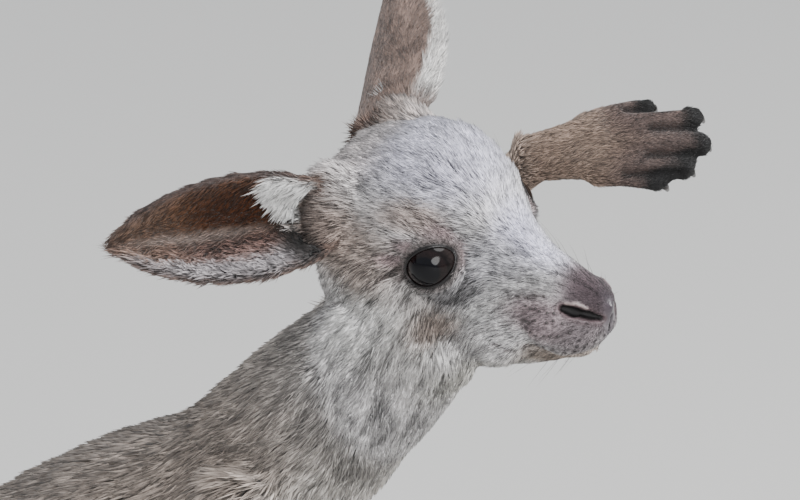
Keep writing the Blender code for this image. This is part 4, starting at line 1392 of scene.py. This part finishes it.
# %% Eyeballs
eye_tint, take, give = new_group(
    "iris", [("Distance", "NodeSocketFloat", 0.0), ("Place", "NodeSocketVector", None)],
    [("Colour", "NodeSocketColor", None)])
rings_ramp = eye_tint.nodes.new("ShaderNodeValToRGB")
scale_down = add_node(eye_tint, "ShaderNodeMath", operation="DIVIDE")
scale_down.inputs[1].default_value = 12.0
STOPS = [(0.0, (0.001, 0.001, 0.002)), (0.40, (0.001, 0.001, 0.002)), (0.46, (0.005, 0.003, 0.003)),
         (0.60, (0.007, 0.004, 0.004)), (0.70, (0.003, 0.002, 0.002)), (1.0, (0.020, 0.014, 0.013))]
ramp = rings_ramp.color_ramp
for number, (at_place, tone) in enumerate(STOPS):
    stop = ramp.elements[number] if number < 2 else ramp.elements.new(at_place)
    stop.position = at_place
    stop.color = (*tone, 1)
spokes = group_node(eye_tint, mottle, Scale=1500.0, Low=0.55, High=1.5)
eye_tint.links.new(take.outputs["Distance"], scale_down.inputs[0])
eye_tint.links.new(scale_down.outputs[0], rings_ramp.inputs["Fac"])
eye_tint.links.new(rings_ramp.outputs["Color"], spokes.inputs["Colour"])
eye_tint.links.new(take.outputs["Place"], spokes.inputs["Place"])
eye_tint.links.new(spokes.outputs["Colour"], give.inputs["Colour"])

eye_material = plain_material("wet_eye", (0.02, 0.012, 0.01), 0.08)
tree, shader = eye_material.node_tree, shader_of(eye_material)
shader.inputs["IOR"].default_value = 1.38
shader.inputs["Specular IOR Level"].default_value = 0.3
from_pole = add_node(tree, "ShaderNodeAttribute", attribute_name="from_pole")
place = add_node(tree, "ShaderNodeTexCoord")
tinted = group_node(tree, eye_tint)
tree.links.new(from_pole.outputs["Fac"], tinted.inputs["Distance"])
tree.links.new(place.outputs["Object"], tinted.inputs["Place"])
tree.links.new(tinted.outputs["Colour"], shader.inputs["Base Color"])

CORNEA_BULGE, CORNEA_FLAT, CORNEA_EDGE = 0.030, 18, 42      # angles in degrees from the pole

for side, sign in SIDES.items():
    bm = bmesh.new()
    bmesh.ops.create_uvsphere(bm, u_segments=64, v_segments=48, radius=EYE_RADIUS * MM)
    gaze_way = Vector(head_axes @ (GAZE * (1, sign, 1)))
    for vertex in bm.verts:
        angle = math.degrees(vertex.co.angle(Vector((0, 0, 1))))
        vertex.co *= 1 + CORNEA_BULGE * float(fade(angle, CORNEA_FLAT, CORNEA_EDGE))
    matrix = gaze_way.to_track_quat("Z", "Y").to_matrix().to_4x4()
    matrix.translation = from_head(EYE_AT * (1, sign, 1))
    bmesh.ops.transform(bm, matrix=matrix, verts=bm.verts)
    ball = new_piece("eyeball_" + side, bm)
    offset = points_of(ball.data) - np.array(matrix.translation)
    angle = np.arccos(np.clip(unit(offset) @ np.array(gaze_way), -1, 1))
    layer = ball.data.attributes.new("from_pole", "FLOAT", "POINT")
    layer.data.foreach_set("value", (angle * EYE_RADIUS).astype(np.float32))
    dress(ball, eye_material)
    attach(ball, "root")
    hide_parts("eye_" + side)
print("eyes at", [round(v, 3) for v in from_head(EYE_AT)])

# %% [markdown]
# ## Claws
#
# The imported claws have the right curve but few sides. Merged copies are divided once and smoothed,
# which rounds them. Horn grows in layers along the claw, so its tone runs from brown-black at the
# base to a paler, more worn tip, with fine streaks.

# %% Round the claws
claw_material = coat_based("claw_horn", 0.38, 900.0, 0.7, 1.4)
add_pores(claw_material, 2200.0, 0.25, 0.1 * MM)
for side in SIDES:
    for label, start in (("forepaw", f"claw_{side}"), ("foot", f"toe_claw_{side}")):
        members = [name for name in nodes if name.startswith(start)]
        claws = bmesh.new()
        for name in members:
            add_copy(claws, name, 0)
        bmesh.ops.subdivide_edges(claws, edges=claws.edges, cuts=1, use_grid_fill=True, smooth=0.6)
        bmesh.ops.triangulate(claws, faces=[f for f in claws.faces if len(f.verts) > 3])
        for _ in range(2):
            bmesh.ops.smooth_vert(claws, verts=claws.verts, factor=0.35,
                                  use_axis_x=True, use_axis_y=True, use_axis_z=True)
        piece = new_piece(f"claws_{label}_{side}", claws)
        points = points_of(piece.data)
        centres = np.array([middle[name] for name in members])
        outward = unit(centres - middle[("toes_" if label == "foot" else "forepaw_") + side])
        nearest = np.argmin(np.linalg.norm(points[:, None] - centres, axis=2), axis=1)
        to_tip = ((points - centres[nearest]) * outward[nearest]).sum(1) / MM
        tones = (0.018, 0.015, 0.014) + ease(to_tip, 0, 5)[:, None] * (0.13, 0.115, 0.10)
        tones = tones * (1 + 0.35 * cloudy(points, 2 * MM, 7))[:, None]
        write_colour(piece.data, "coat", tones)
        dress(piece, claw_material)
        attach(piece, "root")
        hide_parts(*members)
        print(piece.name, len(piece.data.polygons), "triangles")
